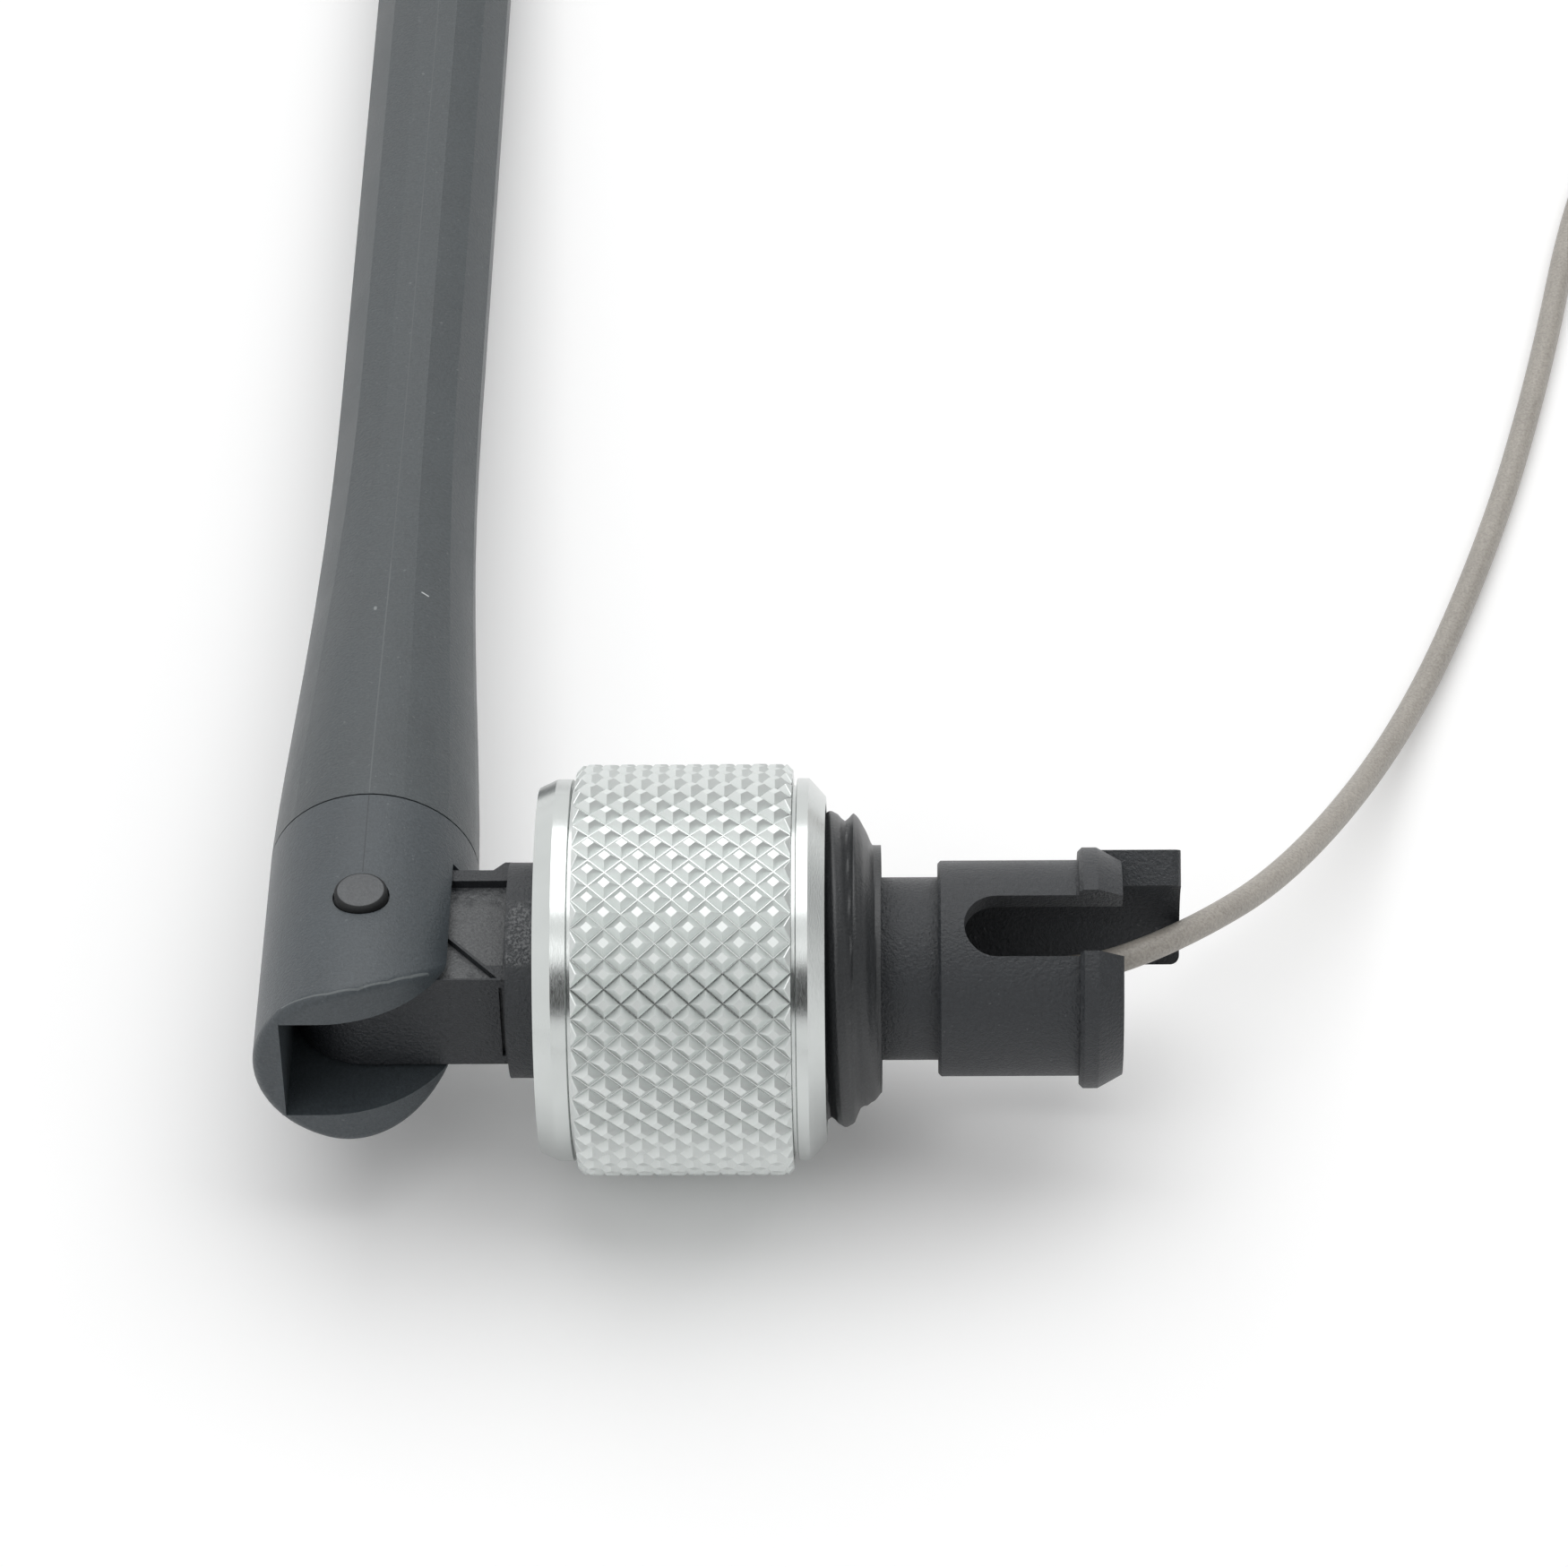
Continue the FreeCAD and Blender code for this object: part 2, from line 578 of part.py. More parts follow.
def hinge_barrel():
    """Round clevis with a side and end slot for the tongue and a spigot for the blade."""
    reach = BARREL_RADIUS + 1.0
    body = cylinder_y(BARREL_RADIUS, -BARREL_END - 1.0, JOINT_DISTANCE)
    body = body.cut(barrel_end_cutter())
    slot = box_between((PIVOT_X - SLOT_BACK_WALL, -BARREL_END - reach, -SLOT_HALF_GAP),
                       (PIVOT_X + reach, SLOT_ROOF, SLOT_HALF_GAP))
    body = body.cut(slot)
    end_edges = [edge for edge in body.Edges if is_barrel_end_edge(edge)]
    body = body.makeFillet(BARREL_EDGE_ROUND, end_edges)
    body = body.fuse(cylinder_y(SPIGOT_RADIUS, JOINT_DISTANCE, JOINT_DISTANCE + SPIGOT_LENGTH))
    coax_end = JOINT_DISTANCE + SPIGOT_LENGTH + 1.0
    body = body.cut(cylinder_y(COAX_BORE_RADIUS, SLOT_ROOF - 1.0, coax_end))
    pin_hole = cylinder_z(PIN_RADIUS, -reach, reach)
    head_seat_z = BARREL_RADIUS - PIN_HEAD_SEAT
    for start, end in ((head_seat_z, reach), (-reach, -head_seat_z)):
        body = body.cut(cylinder_z(PIN_HEAD_RADIUS + PIN_HEAD_GAP, start, end))
    return body.cut(pin_hole).removeSplitter()


def pivot_pin():
    """Headed stub pin pressed into the barrel's upper cheek; its shank turns the tongue."""
    tip_z = SWING_CHANNEL_HALF_GAP + PIN_TIP_SETBACK
    head_z = BARREL_RADIUS - PIN_HEAD_SEAT
    rim_z = BARREL_RADIUS + PIN_HEAD_PROUD
    shoulder_z = rim_z - PIN_HEAD_ROUND
    inner = PIN_HEAD_RADIUS - PIN_HEAD_ROUND
    bend = math.radians(45.0)
    round_middle = Vector(inner + PIN_HEAD_ROUND * math.cos(bend), 0,
                          shoulder_z + PIN_HEAD_ROUND * math.sin(bend))
    rim = Vector(inner, 0, rim_z)
    crown = Vector(0, 0, rim_z + PIN_HEAD_CROWN)
    corners = [
        crown,
        Vector(0, 0, tip_z),
        Vector(PIN_RADIUS, 0, tip_z),
        Vector(PIN_RADIUS, 0, head_z),
        Vector(PIN_HEAD_RADIUS, 0, head_z),
        Vector(PIN_HEAD_RADIUS, 0, shoulder_z),
    ]
    edges = [Part.LineSegment(a, b).toShape() for a, b in zip(corners, corners[1:])]
    edges.append(Part.Arc(corners[-1], round_middle, rim).toShape())
    edges.append(Part.LineSegment(rim, crown).toShape())
    pin = Part.Face(Part.Wire(edges)).revolve(ORIGIN, AXIS_Z, 360)
    pin.translate(Vector(PIVOT_X, 0, 0))
    return pin


def lower_pivot_pin():
    """The same stub pin in the barrel's lower cheek."""
    return pivot_pin().mirror(ORIGIN, AXIS_Z)


def blade_corners():
    """Twelve corners of the blade's flattened section, anticlockwise from the right side."""
    quarter = [
        (BLADE_HALF_WIDTH, SIDE_FLAT_HALF),
        (SHOULDER_WIDTH, SHOULDER_HEIGHT),
        (TOP_FLAT_HALF, BLADE_HALF_THICKNESS),
    ]
    upper = quarter + [(-x, z) for x, z in reversed(quarter)]
    return upper + [(-x, -z) for x, z in upper]


def blade_section(y, half_width, roundness, scale=1.0):
    """Closed section of twelve arcs, between the faceted form and a circle."""
    corners = blade_corners()
    facet_scale = scale * half_width / BLADE_HALF_WIDTH
    radius = scale * half_width
    angles = [math.atan2(z, x) for x, z in corners]
    edges = []
    for index, (x0, z0) in enumerate(corners):
        following = (index + 1) % len(corners)
        x1, z1 = corners[following]
        start_angle = angles[index]
        end_angle = angles[following]
        if end_angle < start_angle:
            end_angle += 2.0 * math.pi
        mid_angle = (start_angle + end_angle) / 2.0
        mid_x, mid_z = (x0 + x1) / 2.0, (z0 + z1) / 2.0
        crown = 1.0 + FACET_CROWN / math.hypot(mid_x, mid_z)
        flat_points = [(x0, z0), (mid_x * crown, mid_z * crown), (x1, z1)]
        points = []
        for (x, z), angle in zip(flat_points, (start_angle, mid_angle, end_angle)):
            flat_x, flat_z = x * facet_scale, z * facet_scale
            round_x, round_z = radius * math.cos(angle), radius * math.sin(angle)
            points.append(Vector(
                PIVOT_X + flat_x + (round_x - flat_x) * roundness, y,
                flat_z + (round_z - flat_z) * roundness))
        edges.append(Part.Arc(*points).toShape())
    return Part.Wire(edges)


def flare_ease(along, power):
    """Smooth fall from 1 at the joint to 0 at the flare's end."""
    return 0.5 + 0.5 * math.cos(math.pi * along ** power)


def blade_outer():
    """Blade from the round joint through the flare to the faceted bar and rounded tip."""
    extra_width = BARREL_RADIUS - BLADE_HALF_WIDTH
    spacing = FLARE_LENGTH / FLARE_STEPS
    flare = []
    for index in range(FLARE_STEPS + 3):
        along = min(1.0, index / FLARE_STEPS)
        half_width = BLADE_HALF_WIDTH + extra_width * flare_ease(along, FLARE_WIDTH_EASE)
        roundness = flare_ease(along, FLARE_ROUNDNESS_EASE)
        flare.append(blade_section(JOINT_DISTANCE + index * spacing, half_width, roundness))
    flare_end_y = JOINT_DISTANCE + (FLARE_STEPS + 2) * spacing
    tip_start_y = BLADE_TIP_Y - TIP_STATIONS[0][0]
    bar_section = blade_section(flare_end_y, BLADE_HALF_WIDTH, 0.0)
    bar = Part.Face(bar_section).extrude(Vector(0, tip_start_y - flare_end_y, 0))
    tip = [
        blade_section(BLADE_TIP_Y - before, BLADE_HALF_WIDTH, 0.0, scale)
        for before, scale in TIP_STATIONS
    ]
    solid = Part.makeLoft(flare, True, False)
    solid = solid.fuse([bar, Part.makeLoft(tip, True, False)])
    return solid.removeSplitter()


def blade_sleeve():
    """Plastic blade: round socket for the barrel's spigot and a flat cavity for the board."""
    body = blade_outer()
    body = body.cut(cylinder_y(SPIGOT_RADIUS, JOINT_DISTANCE - 1.0, CAVITY_START_Y))
    cavity = box_between(
        (PIVOT_X - CAVITY_HALF_WIDTH, CAVITY_START_Y - 0.5, -CAVITY_HALF_HEIGHT),
        (PIVOT_X + CAVITY_HALF_WIDTH, CAVITY_END_Y, CAVITY_HALF_HEIGHT))
    line_end = JOINT_DISTANCE + JOINT_LINE_WIDTH
    joint_line = cylinder_y(BARREL_RADIUS + 1.0, JOINT_DISTANCE - 1.0, line_end)
    joint_line = joint_line.cut(cylinder_y(BARREL_RADIUS - JOINT_LINE_DEPTH, JOINT_DISTANCE - 1.0, line_end))
    return body.cut(cavity).cut(joint_line)


def radiator_board():
    """Glass-fibre board that carries the copper elements, notched where the cable rises onto it."""
    half = BOARD_THICKNESS / 2.0
    board = box_between((PIVOT_X - BOARD_HALF_WIDTH, BOARD_START_Y, -half),
                        (PIVOT_X + BOARD_HALF_WIDTH, BOARD_END_Y, half))
    notch_half = CABLE_RADIUS + BOARD_NOTCH_CLEARANCE
    notch = box_between((PIVOT_X - notch_half, BOARD_START_Y - 1.0, -1.0),
                        (PIVOT_X + notch_half, BOARD_NOTCH_END_Y, 1.0))
    return board.cut(notch)


def copper_plate(start_y, end_y):
    """Thin copper element on the board's upper face."""
    low_z = BOARD_THICKNESS / 2.0
    half_width = BOARD_HALF_WIDTH - COPPER_EDGE_MARGIN
    return box_between((PIVOT_X - half_width, start_y, low_z),
                       (PIVOT_X + half_width, end_y, low_z + COPPER_THICKNESS))


def ground_element():
    """Lower half of the dipole, under the coaxial cable."""
    start_y = BOARD_NOTCH_END_Y + COPPER_EDGE_MARGIN
    return copper_plate(start_y, FEED_DISTANCE - FEED_GAP / 2.0)


def radiating_element():
    """Upper half of the dipole, beyond the feed gap."""
    return copper_plate(FEED_DISTANCE + FEED_GAP / 2.0, BOARD_END_Y - BOARD_END_GAP)


def board_cable_height():
    """Height of the cable's axis above the board's middle."""
    return BOARD_THICKNESS / 2.0 + COPPER_THICKNESS + CABLE_RADIUS


def solder_joint(y, wire_radius):
    """Rounded solder fillet on the copper, round the stripped cable."""
    base_z = BOARD_THICKNESS / 2.0 + COPPER_THICKNESS
    dome = Part.makeSphere(SOLDER_RADIUS, Vector(PIVOT_X, y, base_z))
    reach = 2.0 * SOLDER_RADIUS
    above = box_between((PIVOT_X - reach, y - reach, base_z),
                        (PIVOT_X + reach, y + reach, base_z + SOLDER_HEIGHT))
    wire = Part.makeCylinder(wire_radius, 2.0 * reach,
                             Vector(PIVOT_X, y - reach, board_cable_height()), AXIS_Y)
    return dome.common(above).cut(wire)


def shield_solder():
    """Joint of the cable's braid to the ground element."""
    return solder_joint(FEED_DISTANCE - FEED_GAP / 2.0 - BRAID_LENGTH / 2.0, BRAID_DIAMETER / 2.0)


def feed_solder():
    """Joint of the inner conductor to the radiating element."""
    conductor_end_y = FEED_DISTANCE - FEED_GAP / 2.0 + CONDUCTOR_LENGTH
    return solder_joint(conductor_end_y - SOLDER_RADIUS, CONDUCTOR_DIAMETER / 2.0)


def tangent_route(points):
    """Wire of straight runs joined by tangent arcs, and the arcs' radii."""
    route = [Vector(*point) for point in points]
    edges = []
    radii = []
    start = route[0]
    for before, corner, after in zip(route, route[1:], route[2:]):
        incoming = corner - before
        outgoing = after - corner
        trim = 0.45 * min(incoming.Length, outgoing.Length)
        incoming.normalize()
        outgoing.normalize()
        half_turn = incoming.getAngle(outgoing) / 2.0
        radius = trim / math.tan(half_turn)
        arc_start = corner - incoming * trim
        arc_end = corner + outgoing * trim
        inward = outgoing - incoming
        inward.normalize()
        to_arc = radius / math.cos(half_turn) - radius
        arc_middle = corner + inward * to_arc
        edges.append(Part.LineSegment(start, arc_start).toShape())
        edges.append(Part.Arc(arc_start, arc_middle, arc_end).toShape())
        radii.append(radius)
        start = arc_end
    edges.append(Part.LineSegment(start, route[-1]).toShape())
    return Part.Wire(edges), radii


def cable_tube(name, points, diameter=CABLE_DIAMETER):
    """Round cable swept along a route; its radii and volume are printed."""
    path, radii = tangent_route(points)
    direction = Vector(*points[1]) - Vector(*points[0])
    circle = Part.Wire([Part.makeCircle(diameter / 2.0, Vector(*points[0]), direction)])
    tube = path.makePipeShell([circle], True, False)
    section = math.pi * diameter ** 2 / 4.0
    print(name, "length %.1f" % path.Length, "volume ratio %.4f" % (tube.Volume / (section * path.Length)),
          "radii", " ".join("%.1f" % radius for radius in radii))
    return tube


def blade_cable():
    """Coaxial cable from the hinge through the barrel and along the board to the feed."""
    board_z = board_cable_height()
    braid_end_y = FEED_DISTANCE - FEED_GAP / 2.0
    jacket_end_y = braid_end_y - BRAID_LENGTH
    jacket = cable_tube("blade_cable", [
        (PIVOT_X, HINGE_CABLE_DISTANCE, 0.0),
        (PIVOT_X, CABLE_RISE_START_Y, 0.0),
        (PIVOT_X, CABLE_RISE_END_Y, board_z),
        (PIVOT_X, jacket_end_y, board_z),
    ])
    braid = Part.makeCylinder(BRAID_DIAMETER / 2.0, BRAID_LENGTH,
                              Vector(PIVOT_X, jacket_end_y, board_z), AXIS_Y)
    conductor = Part.makeCylinder(CONDUCTOR_DIAMETER / 2.0, CONDUCTOR_LENGTH,
                                  Vector(PIVOT_X, braid_end_y, board_z), AXIS_Y)
    return jacket.fuse([braid, conductor])


def stem_cable():
    """Coaxial cable through the stem, from the hinge to the foot of the collar's bore."""
    return cylinder_x(CABLE_RADIUS, PIVOT_X + HINGE_CABLE_DISTANCE, COLLAR_BORE_X)


# Route of the lead as it lies, from the foot of the collar's bore into its coil
LEAD_ROUTE = [
    (COLLAR_BORE_X, 0.0, 0.0),
    (11.8, 0.0, 0.0),
    (17.2, 2.3, -0.5),
    (23.3, 10.2, -4.0),
    (30.0, 24.9, -8.9),
    (35.3, 39.6, CABLE_FLOOR_Z),
    (38.7, 52.5, CABLE_FLOOR_Z),
    (41.3, 65.3, CABLE_FLOOR_Z),
    (43.8, 72.4, CABLE_FLOOR_Z),
    (COIL_CENTRE[0] - COIL_TURN_RADIUS, COIL_CENTRE[1], CABLE_FLOOR_Z),
]

# The coil's upper turn lies in the valley between its two lower ones
COIL_TOP_TURN_RADIUS = COIL_TURN_RADIUS - CABLE_RADIUS
COIL_TOP_TURN_Z = CABLE_FLOOR_Z + math.sqrt(0.75) * CABLE_DIAMETER
TAIL_X = COIL_CENTRE[0] + COIL_TOP_TURN_RADIUS
PLUG_Y = COIL_CENTRE[1] - PLUG_REACH
PLUG_CABLE_Z = FLOOR_Z + PLUG_CABLE_HEIGHT
PLUG_CABLE_END_Y = PLUG_Y + PLUG_CAN_RADIUS - PLUG_WALL

# Route of the lead's end, from the coil's upper turn down to the plug
TAIL_ROUTE = [
    (TAIL_X, COIL_CENTRE[1], COIL_TOP_TURN_Z),
    (TAIL_X, COIL_CENTRE[1] - 4.8, COIL_TOP_TURN_Z + 0.25),
    (TAIL_X, COIL_CENTRE[1] - TAIL_LANDING, PLUG_CABLE_Z),
    (TAIL_X, PLUG_CABLE_END_Y, PLUG_CABLE_Z),
]


def antenna_lead():
    """Free lead from the collar to its coil."""
    return cable_tube("antenna_lead", LEAD_ROUTE)


def lead_tail():
    """End of the lead, from its coil to the plug."""
    return cable_tube("lead_tail", TAIL_ROUTE)


def lead_coil():
    """Outer shape of the coiled lead: two turns side by side and one on top."""
    inner = COIL_TURN_RADIUS - CABLE_DIAMETER - CABLE_RADIUS
    outer = COIL_TURN_RADIUS + CABLE_RADIUS
    shoulder_z = FLOOR_Z + CABLE_DIAMETER
    top_z = COIL_TOP_TURN_Z + CABLE_RADIUS
    profile = [
        (inner + COIL_EDGE, FLOOR_Z),
        (outer - COIL_EDGE, FLOOR_Z),
        (outer, FLOOR_Z + COIL_EDGE),
        (outer, shoulder_z),
        (COIL_TOP_TURN_RADIUS + CABLE_RADIUS, top_z),
        (COIL_TOP_TURN_RADIUS - CABLE_RADIUS, top_z),
        (inner, shoulder_z),
        (inner, FLOOR_Z + COIL_EDGE),
    ]
    centre = Vector(COIL_CENTRE[0], COIL_CENTRE[1], 0)
    points = [centre + Vector(radius, 0, z) for radius, z in profile]
    face = Part.Face(Part.makePolygon(points + [points[0]]))
    return face.revolve(centre, AXIS_Z, 360)


def plug_cylinder(radius, low, high):
    """Upright cylinder on the plug's axis; heights are above the floor."""
    return cylinder_z(radius, FLOOR_Z + low, FLOOR_Z + high, TAIL_X, PLUG_Y)


def plug_cable_cylinder(radius, start, end):
    """Cylinder along the cable at the plug; distances are from the plug's axis."""
    return Part.makeCylinder(radius, end - start, Vector(TAIL_X, PLUG_Y + start, PLUG_CABLE_Z), AXIS_Y)


def plug_shell():
    """Round outer contact, open below, with the crimp sleeve that grips the cable."""
    inside = PLUG_CAN_RADIUS - PLUG_WALL
    sleeve_end = PLUG_CAN_RADIUS + PLUG_CRIMP_LENGTH
    can = plug_cylinder(PLUG_CAN_RADIUS, 0.0, PLUG_HEIGHT)
    shell = can.fuse(plug_cable_cylinder(CABLE_RADIUS + PLUG_WALL, 0.0, sleeve_end))
    shell = shell.cut(plug_cylinder(inside, -1.0, PLUG_HEIGHT - PLUG_WALL))
    return shell.cut(plug_cable_cylinder(CABLE_RADIUS, 0.0, sleeve_end + 1.0))


def plug_insulator():
    """Plastic disc and socket that hold the centre contact in the shell."""
    disc = plug_cylinder(PLUG_CAN_RADIUS - PLUG_WALL, PLUG_INSULATOR_FOOT, PLUG_HEIGHT - PLUG_WALL)
    socket = plug_cylinder(PLUG_SOCKET_RADIUS, PLUG_SOCKET_FOOT, PLUG_INSULATOR_FOOT)
    hole = plug_cylinder(PLUG_CONTACT_RADIUS, 0.0, PLUG_CONTACT_TOP)
    return disc.fuse(socket).cut(hole)


def plug_contact():
    """Hollow centre contact."""
    pin = plug_cylinder(PLUG_CONTACT_RADIUS, PLUG_SOCKET_FOOT, PLUG_CONTACT_TOP)
    return pin.cut(plug_cylinder(PLUG_CONTACT_BORE, 0.0, PLUG_INSULATOR_FOOT))


# Pieces that turn with the rest roll, and pieces that lie on the floor
ROLLED_PIECES = {
    "stem": stem,
    "stem_cable": stem_cable,
    "knurled_ring": knurled_ring,
    "screw_core": screw_core,
    "hinge_barrel": hinge_barrel,
    "pivot_pin_upper": pivot_pin,
    "pivot_pin_lower": lower_pivot_pin,
    "blade_sleeve": blade_sleeve,
    "radiator_board": radiator_board,
    "ground_element": ground_element,
    "radiating_element": radiating_element,
    "blade_cable": blade_cable,
    "shield_solder": shield_solder,
    "feed_solder": feed_solder,
}
LYING_PIECES = {
    "antenna_lead": antenna_lead,
    "lead_coil": lead_coil,
    "lead_tail": lead_tail,
    "plug_shell": plug_shell,
    "plug_insulator": plug_insulator,
    "plug_contact": plug_contact,
}


def save(name, shape):
    if len(shape.Solids) != 1 or not shape.isValid():
        raise ValueError("%s is not one valid solid" % name)
    shape.exportStep("parts/%s.step" % name)


def main():
    os.makedirs("parts", exist_ok=True)
    for name, build in ROLLED_PIECES.items():
        shape = build()
        shape.rotate(ORIGIN, AXIS_X, -REST_ROLL)
        save(name, shape)
    for name, build in LYING_PIECES.items():
        save(name, build())


main()
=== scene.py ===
"""Folding controller antenna: knurled ring, threaded boss, coaxial lead, finishes and studio."""
import json
import math

import bmesh
import bpy
from bpy.props import FloatProperty, FloatVectorProperty, IntProperty, PointerProperty
from mathutils import Matrix, Vector


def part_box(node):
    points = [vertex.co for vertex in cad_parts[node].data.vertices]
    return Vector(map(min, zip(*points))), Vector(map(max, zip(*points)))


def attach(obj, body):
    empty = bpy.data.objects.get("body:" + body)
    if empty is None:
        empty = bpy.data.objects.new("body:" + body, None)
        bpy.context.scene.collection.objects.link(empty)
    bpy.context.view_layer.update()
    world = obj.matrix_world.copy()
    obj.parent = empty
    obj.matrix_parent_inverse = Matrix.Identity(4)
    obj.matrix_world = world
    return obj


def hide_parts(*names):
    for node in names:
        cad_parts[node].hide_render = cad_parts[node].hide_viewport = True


bl_info = {
    "name": "Folding Antenna",
    "version": (1, 0, 0),
    "blender": (4, 5, 0),
    "location": "View3D > Sidebar > Antenna",
    "description": "Dresses a folding antenna with a knurled ring, a thread, a lead and its finishes",
    "category": "Object",
}

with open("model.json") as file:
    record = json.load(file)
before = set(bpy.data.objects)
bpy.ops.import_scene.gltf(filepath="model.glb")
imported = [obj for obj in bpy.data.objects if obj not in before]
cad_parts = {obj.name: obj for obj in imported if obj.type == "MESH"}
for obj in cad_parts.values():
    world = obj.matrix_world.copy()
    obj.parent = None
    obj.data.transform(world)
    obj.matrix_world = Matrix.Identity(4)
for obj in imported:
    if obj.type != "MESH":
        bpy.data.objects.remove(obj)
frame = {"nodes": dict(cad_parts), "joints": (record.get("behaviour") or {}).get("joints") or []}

MM = 0.001

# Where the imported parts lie, read from the frame
RING_LOW, RING_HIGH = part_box("knurled_ring")
CORE_LOW, CORE_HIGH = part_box("screw_core")
FLOOR_HEIGHT = RING_LOW[2]
FOLD = next(joint for joint in frame["joints"] if joint["name"] == "blade_fold")
PIVOT = Vector(FOLD["pos_m"])
REST_ROLL = math.atan2(FOLD["axis"][1], FOLD["axis"][2])

# Knurled length of the ring, between its plain bands
KNURL_FROM = RING_LOW[0] + 1.84 * MM
KNURL_TO = RING_HIGH[0] - 1.6 * MM
# Radius near the bottom of the knurl's grooves
GROOVE_RADIUS = RING_HIGH[1] - 0.42 * MM

# Route of the lead, as its solids lie: from the collar into the coil
LEAD_ROUTE_MM = [
    (6.2, 0.0, 0.0),
    (11.6, 0.1, -0.83),
    (17.2, 2.3, -0.5),
    (23.3, 10.2, -4.0),
    (30.0, 24.9, -8.9),
    (35.3, 39.6, -9.34),
    (38.7, 52.5, -9.34),
    (41.3, 65.3, -9.34),
    (43.8, 72.4, -9.34),
]
# Coil of the spare lead: its centre in plan, its outer turn's radius and the heights of its two layers
COIL_CENTRE_MM = (51.9, 76.5)
COIL_OUTER_TURN_MM = 7.9
COIL_LOW_MM = -9.34
COIL_HIGH_MM = -8.197
# Route of the lead's end, from the coil to the plug
TAIL_ROUTE_MM = [
    (59.14, 71.7, -7.95),
    (59.14, 65.5, -9.1),
    (59.14, 60.22, -9.1),
]

# Outline over the thread's crests as (x, radius), and the first crest's place on the top line
THREAD_OUTLINE_MM = [(-0.4, 7.7), (1.35, 7.7), (1.7, 7.15), (2.2, 6.5), (2.66, 6.15)]
FIRST_CREST_MM = 0.4
THREAD_BORE_MM = 5.96
FLANGE_RADIUS_MM = 8.15

# Radius on a pin's head from which its edge is painted dark, as painted shadow of the gap round the head
PIN_RIM_MM = 1.1

DUST_COLOUR = (0.5, 0.52, 0.53)
# Pale colour for the painted highlight along the barrel's rounded front edge
PAINTED_EDGE_HIGHLIGHT = (0.14, 0.155, 0.16)
RUBBED_STEM = (0.13, 0.135, 0.138)
RUBBED_HUB = (0.14, 0.145, 0.15)

# Marks in mm from the hinge, each as (start, end, width, colour): seams, marks of use and a painted
# highlight along the barrel's edge
BLADE_MARKS = [
    ((0.0, 7.3), (0.0, 26.0), 0.07, (0.1, 0.111, 0.117)),
    ((0.0, 26.0), (0.0, 104.0), 0.05, (0.083, 0.093, 0.098)),
    ((1.7, 23.85), (2.0, 23.72), 0.1, DUST_COLOUR),
    ((-0.58, 22.1), (-0.58, 22.25), 0.16, (0.22, 0.235, 0.24)),
]
BARREL_MARKS = [
    ((0.0, 1.6), (0.0, 7.2), 0.06, (0.025, 0.03, 0.035)),
    # Painted highlight along the rounded front edge of the barrel's upper cheek
    ((-3.5, -6.4), (-2.5, -6.52), 0.08, PAINTED_EDGE_HIGHLIGHT),
    ((-2.5, -6.52), (-1.2, -6.62), 0.08, PAINTED_EDGE_HIGHLIGHT),
    ((-1.2, -6.62), (0.2, -6.4), 0.09, PAINTED_EDGE_HIGHLIGHT),
    ((0.2, -6.4), (1.6, -5.72), 0.09, PAINTED_EDGE_HIGHLIGHT),
    ((1.6, -5.72), (2.6, -4.95), 0.09, PAINTED_EDGE_HIGHLIGHT),
    ((2.6, -4.95), (3.4, -4.15), 0.1, PAINTED_EDGE_HIGHLIGHT),
]
# Rubbed patches in mm from the hinge, each as (centre, half size, speckle, colour)
STEM_PATCHES = [
    ((5.0, -0.2, 2.42), (3.4, 4.2, 0.3), 0.4, RUBBED_STEM),
    ((7.8, -2.3, 4.5), (0.8, 1.7, 1.0), 1.0, RUBBED_HUB),
]


class RingSizes(bpy.types.PropertyGroup):
    """Turned and knurled surface of the ring"""

    edge_width: FloatProperty(
        name="Edge Width", description="Width of the burnished edges and groove bottoms", default=0.00004,
        subtype="DISTANCE", unit="LENGTH", precision=6)
    metal_colour: FloatVectorProperty(
        name="Metal", description="Colour of the anodised aluminium", default=(0.62, 0.645, 0.635),
        subtype="COLOR", size=3, min=0, max=1)


class ThreadSizes(bpy.types.PropertyGroup):
    """Thread on the boss"""

    pitch: FloatProperty(
        name="Pitch", description="Distance between two crests", default=0.0014,
        subtype="DISTANCE", unit="LENGTH", precision=5)
    depth: FloatProperty(
        name="Depth", description="Depth of the thread", default=0.0005,
        subtype="DISTANCE", unit="LENGTH", precision=5)
    ripple: FloatProperty(
        name="Ripple", description="Depth of the fine lines on the thread's flanks", default=0.00004,
        subtype="DISTANCE", unit="LENGTH", precision=5)


class PlasticColours(bpy.types.PropertyGroup):
    """Colours of the moulded plastics and the cable"""

    blade: FloatVectorProperty(
        name="Blade", description="Colour of the blade", default=(0.058, 0.068, 0.073),
        subtype="COLOR", size=3, min=0, max=1)
    barrel: FloatVectorProperty(
        name="Barrel", description="Colour of the hinge barrel", default=(0.055, 0.066, 0.074),
        subtype="COLOR", size=3, min=0, max=1)
    pin: FloatVectorProperty(
        name="Pin", description="Colour of the hinge's pin heads", default=(0.07, 0.075, 0.08),
        subtype="COLOR", size=3, min=0, max=1)
    stem: FloatVectorProperty(
        name="Stem", description="Colour of the stem", default=(0.021, 0.024, 0.028),
        subtype="COLOR", size=3, min=0, max=1)
    thread: FloatVectorProperty(
        name="Boss", description="Colour of the threaded boss", default=(0.026, 0.028, 0.030),
        subtype="COLOR", size=3, min=0, max=1)
    cable: FloatVectorProperty(
        name="Cable", description="Colour of the cable's jacket", default=(0.36, 0.335, 0.30),
        subtype="COLOR", size=3, min=0, max=1)


class LeadSizes(bpy.types.PropertyGroup):
    """The free coaxial lead"""

    diameter: FloatProperty(
        name="Diameter", description="Outer diameter of the lead", default=0.00132,
        subtype="DISTANCE", unit="LENGTH", precision=5)
    turns: FloatProperty(
        name="Turns", description="Turns in the put-away coil", default=2.5, min=0.5)
    turn_points: IntProperty(
        name="Points per Turn", description="Control points in a turn", default=16, min=12)


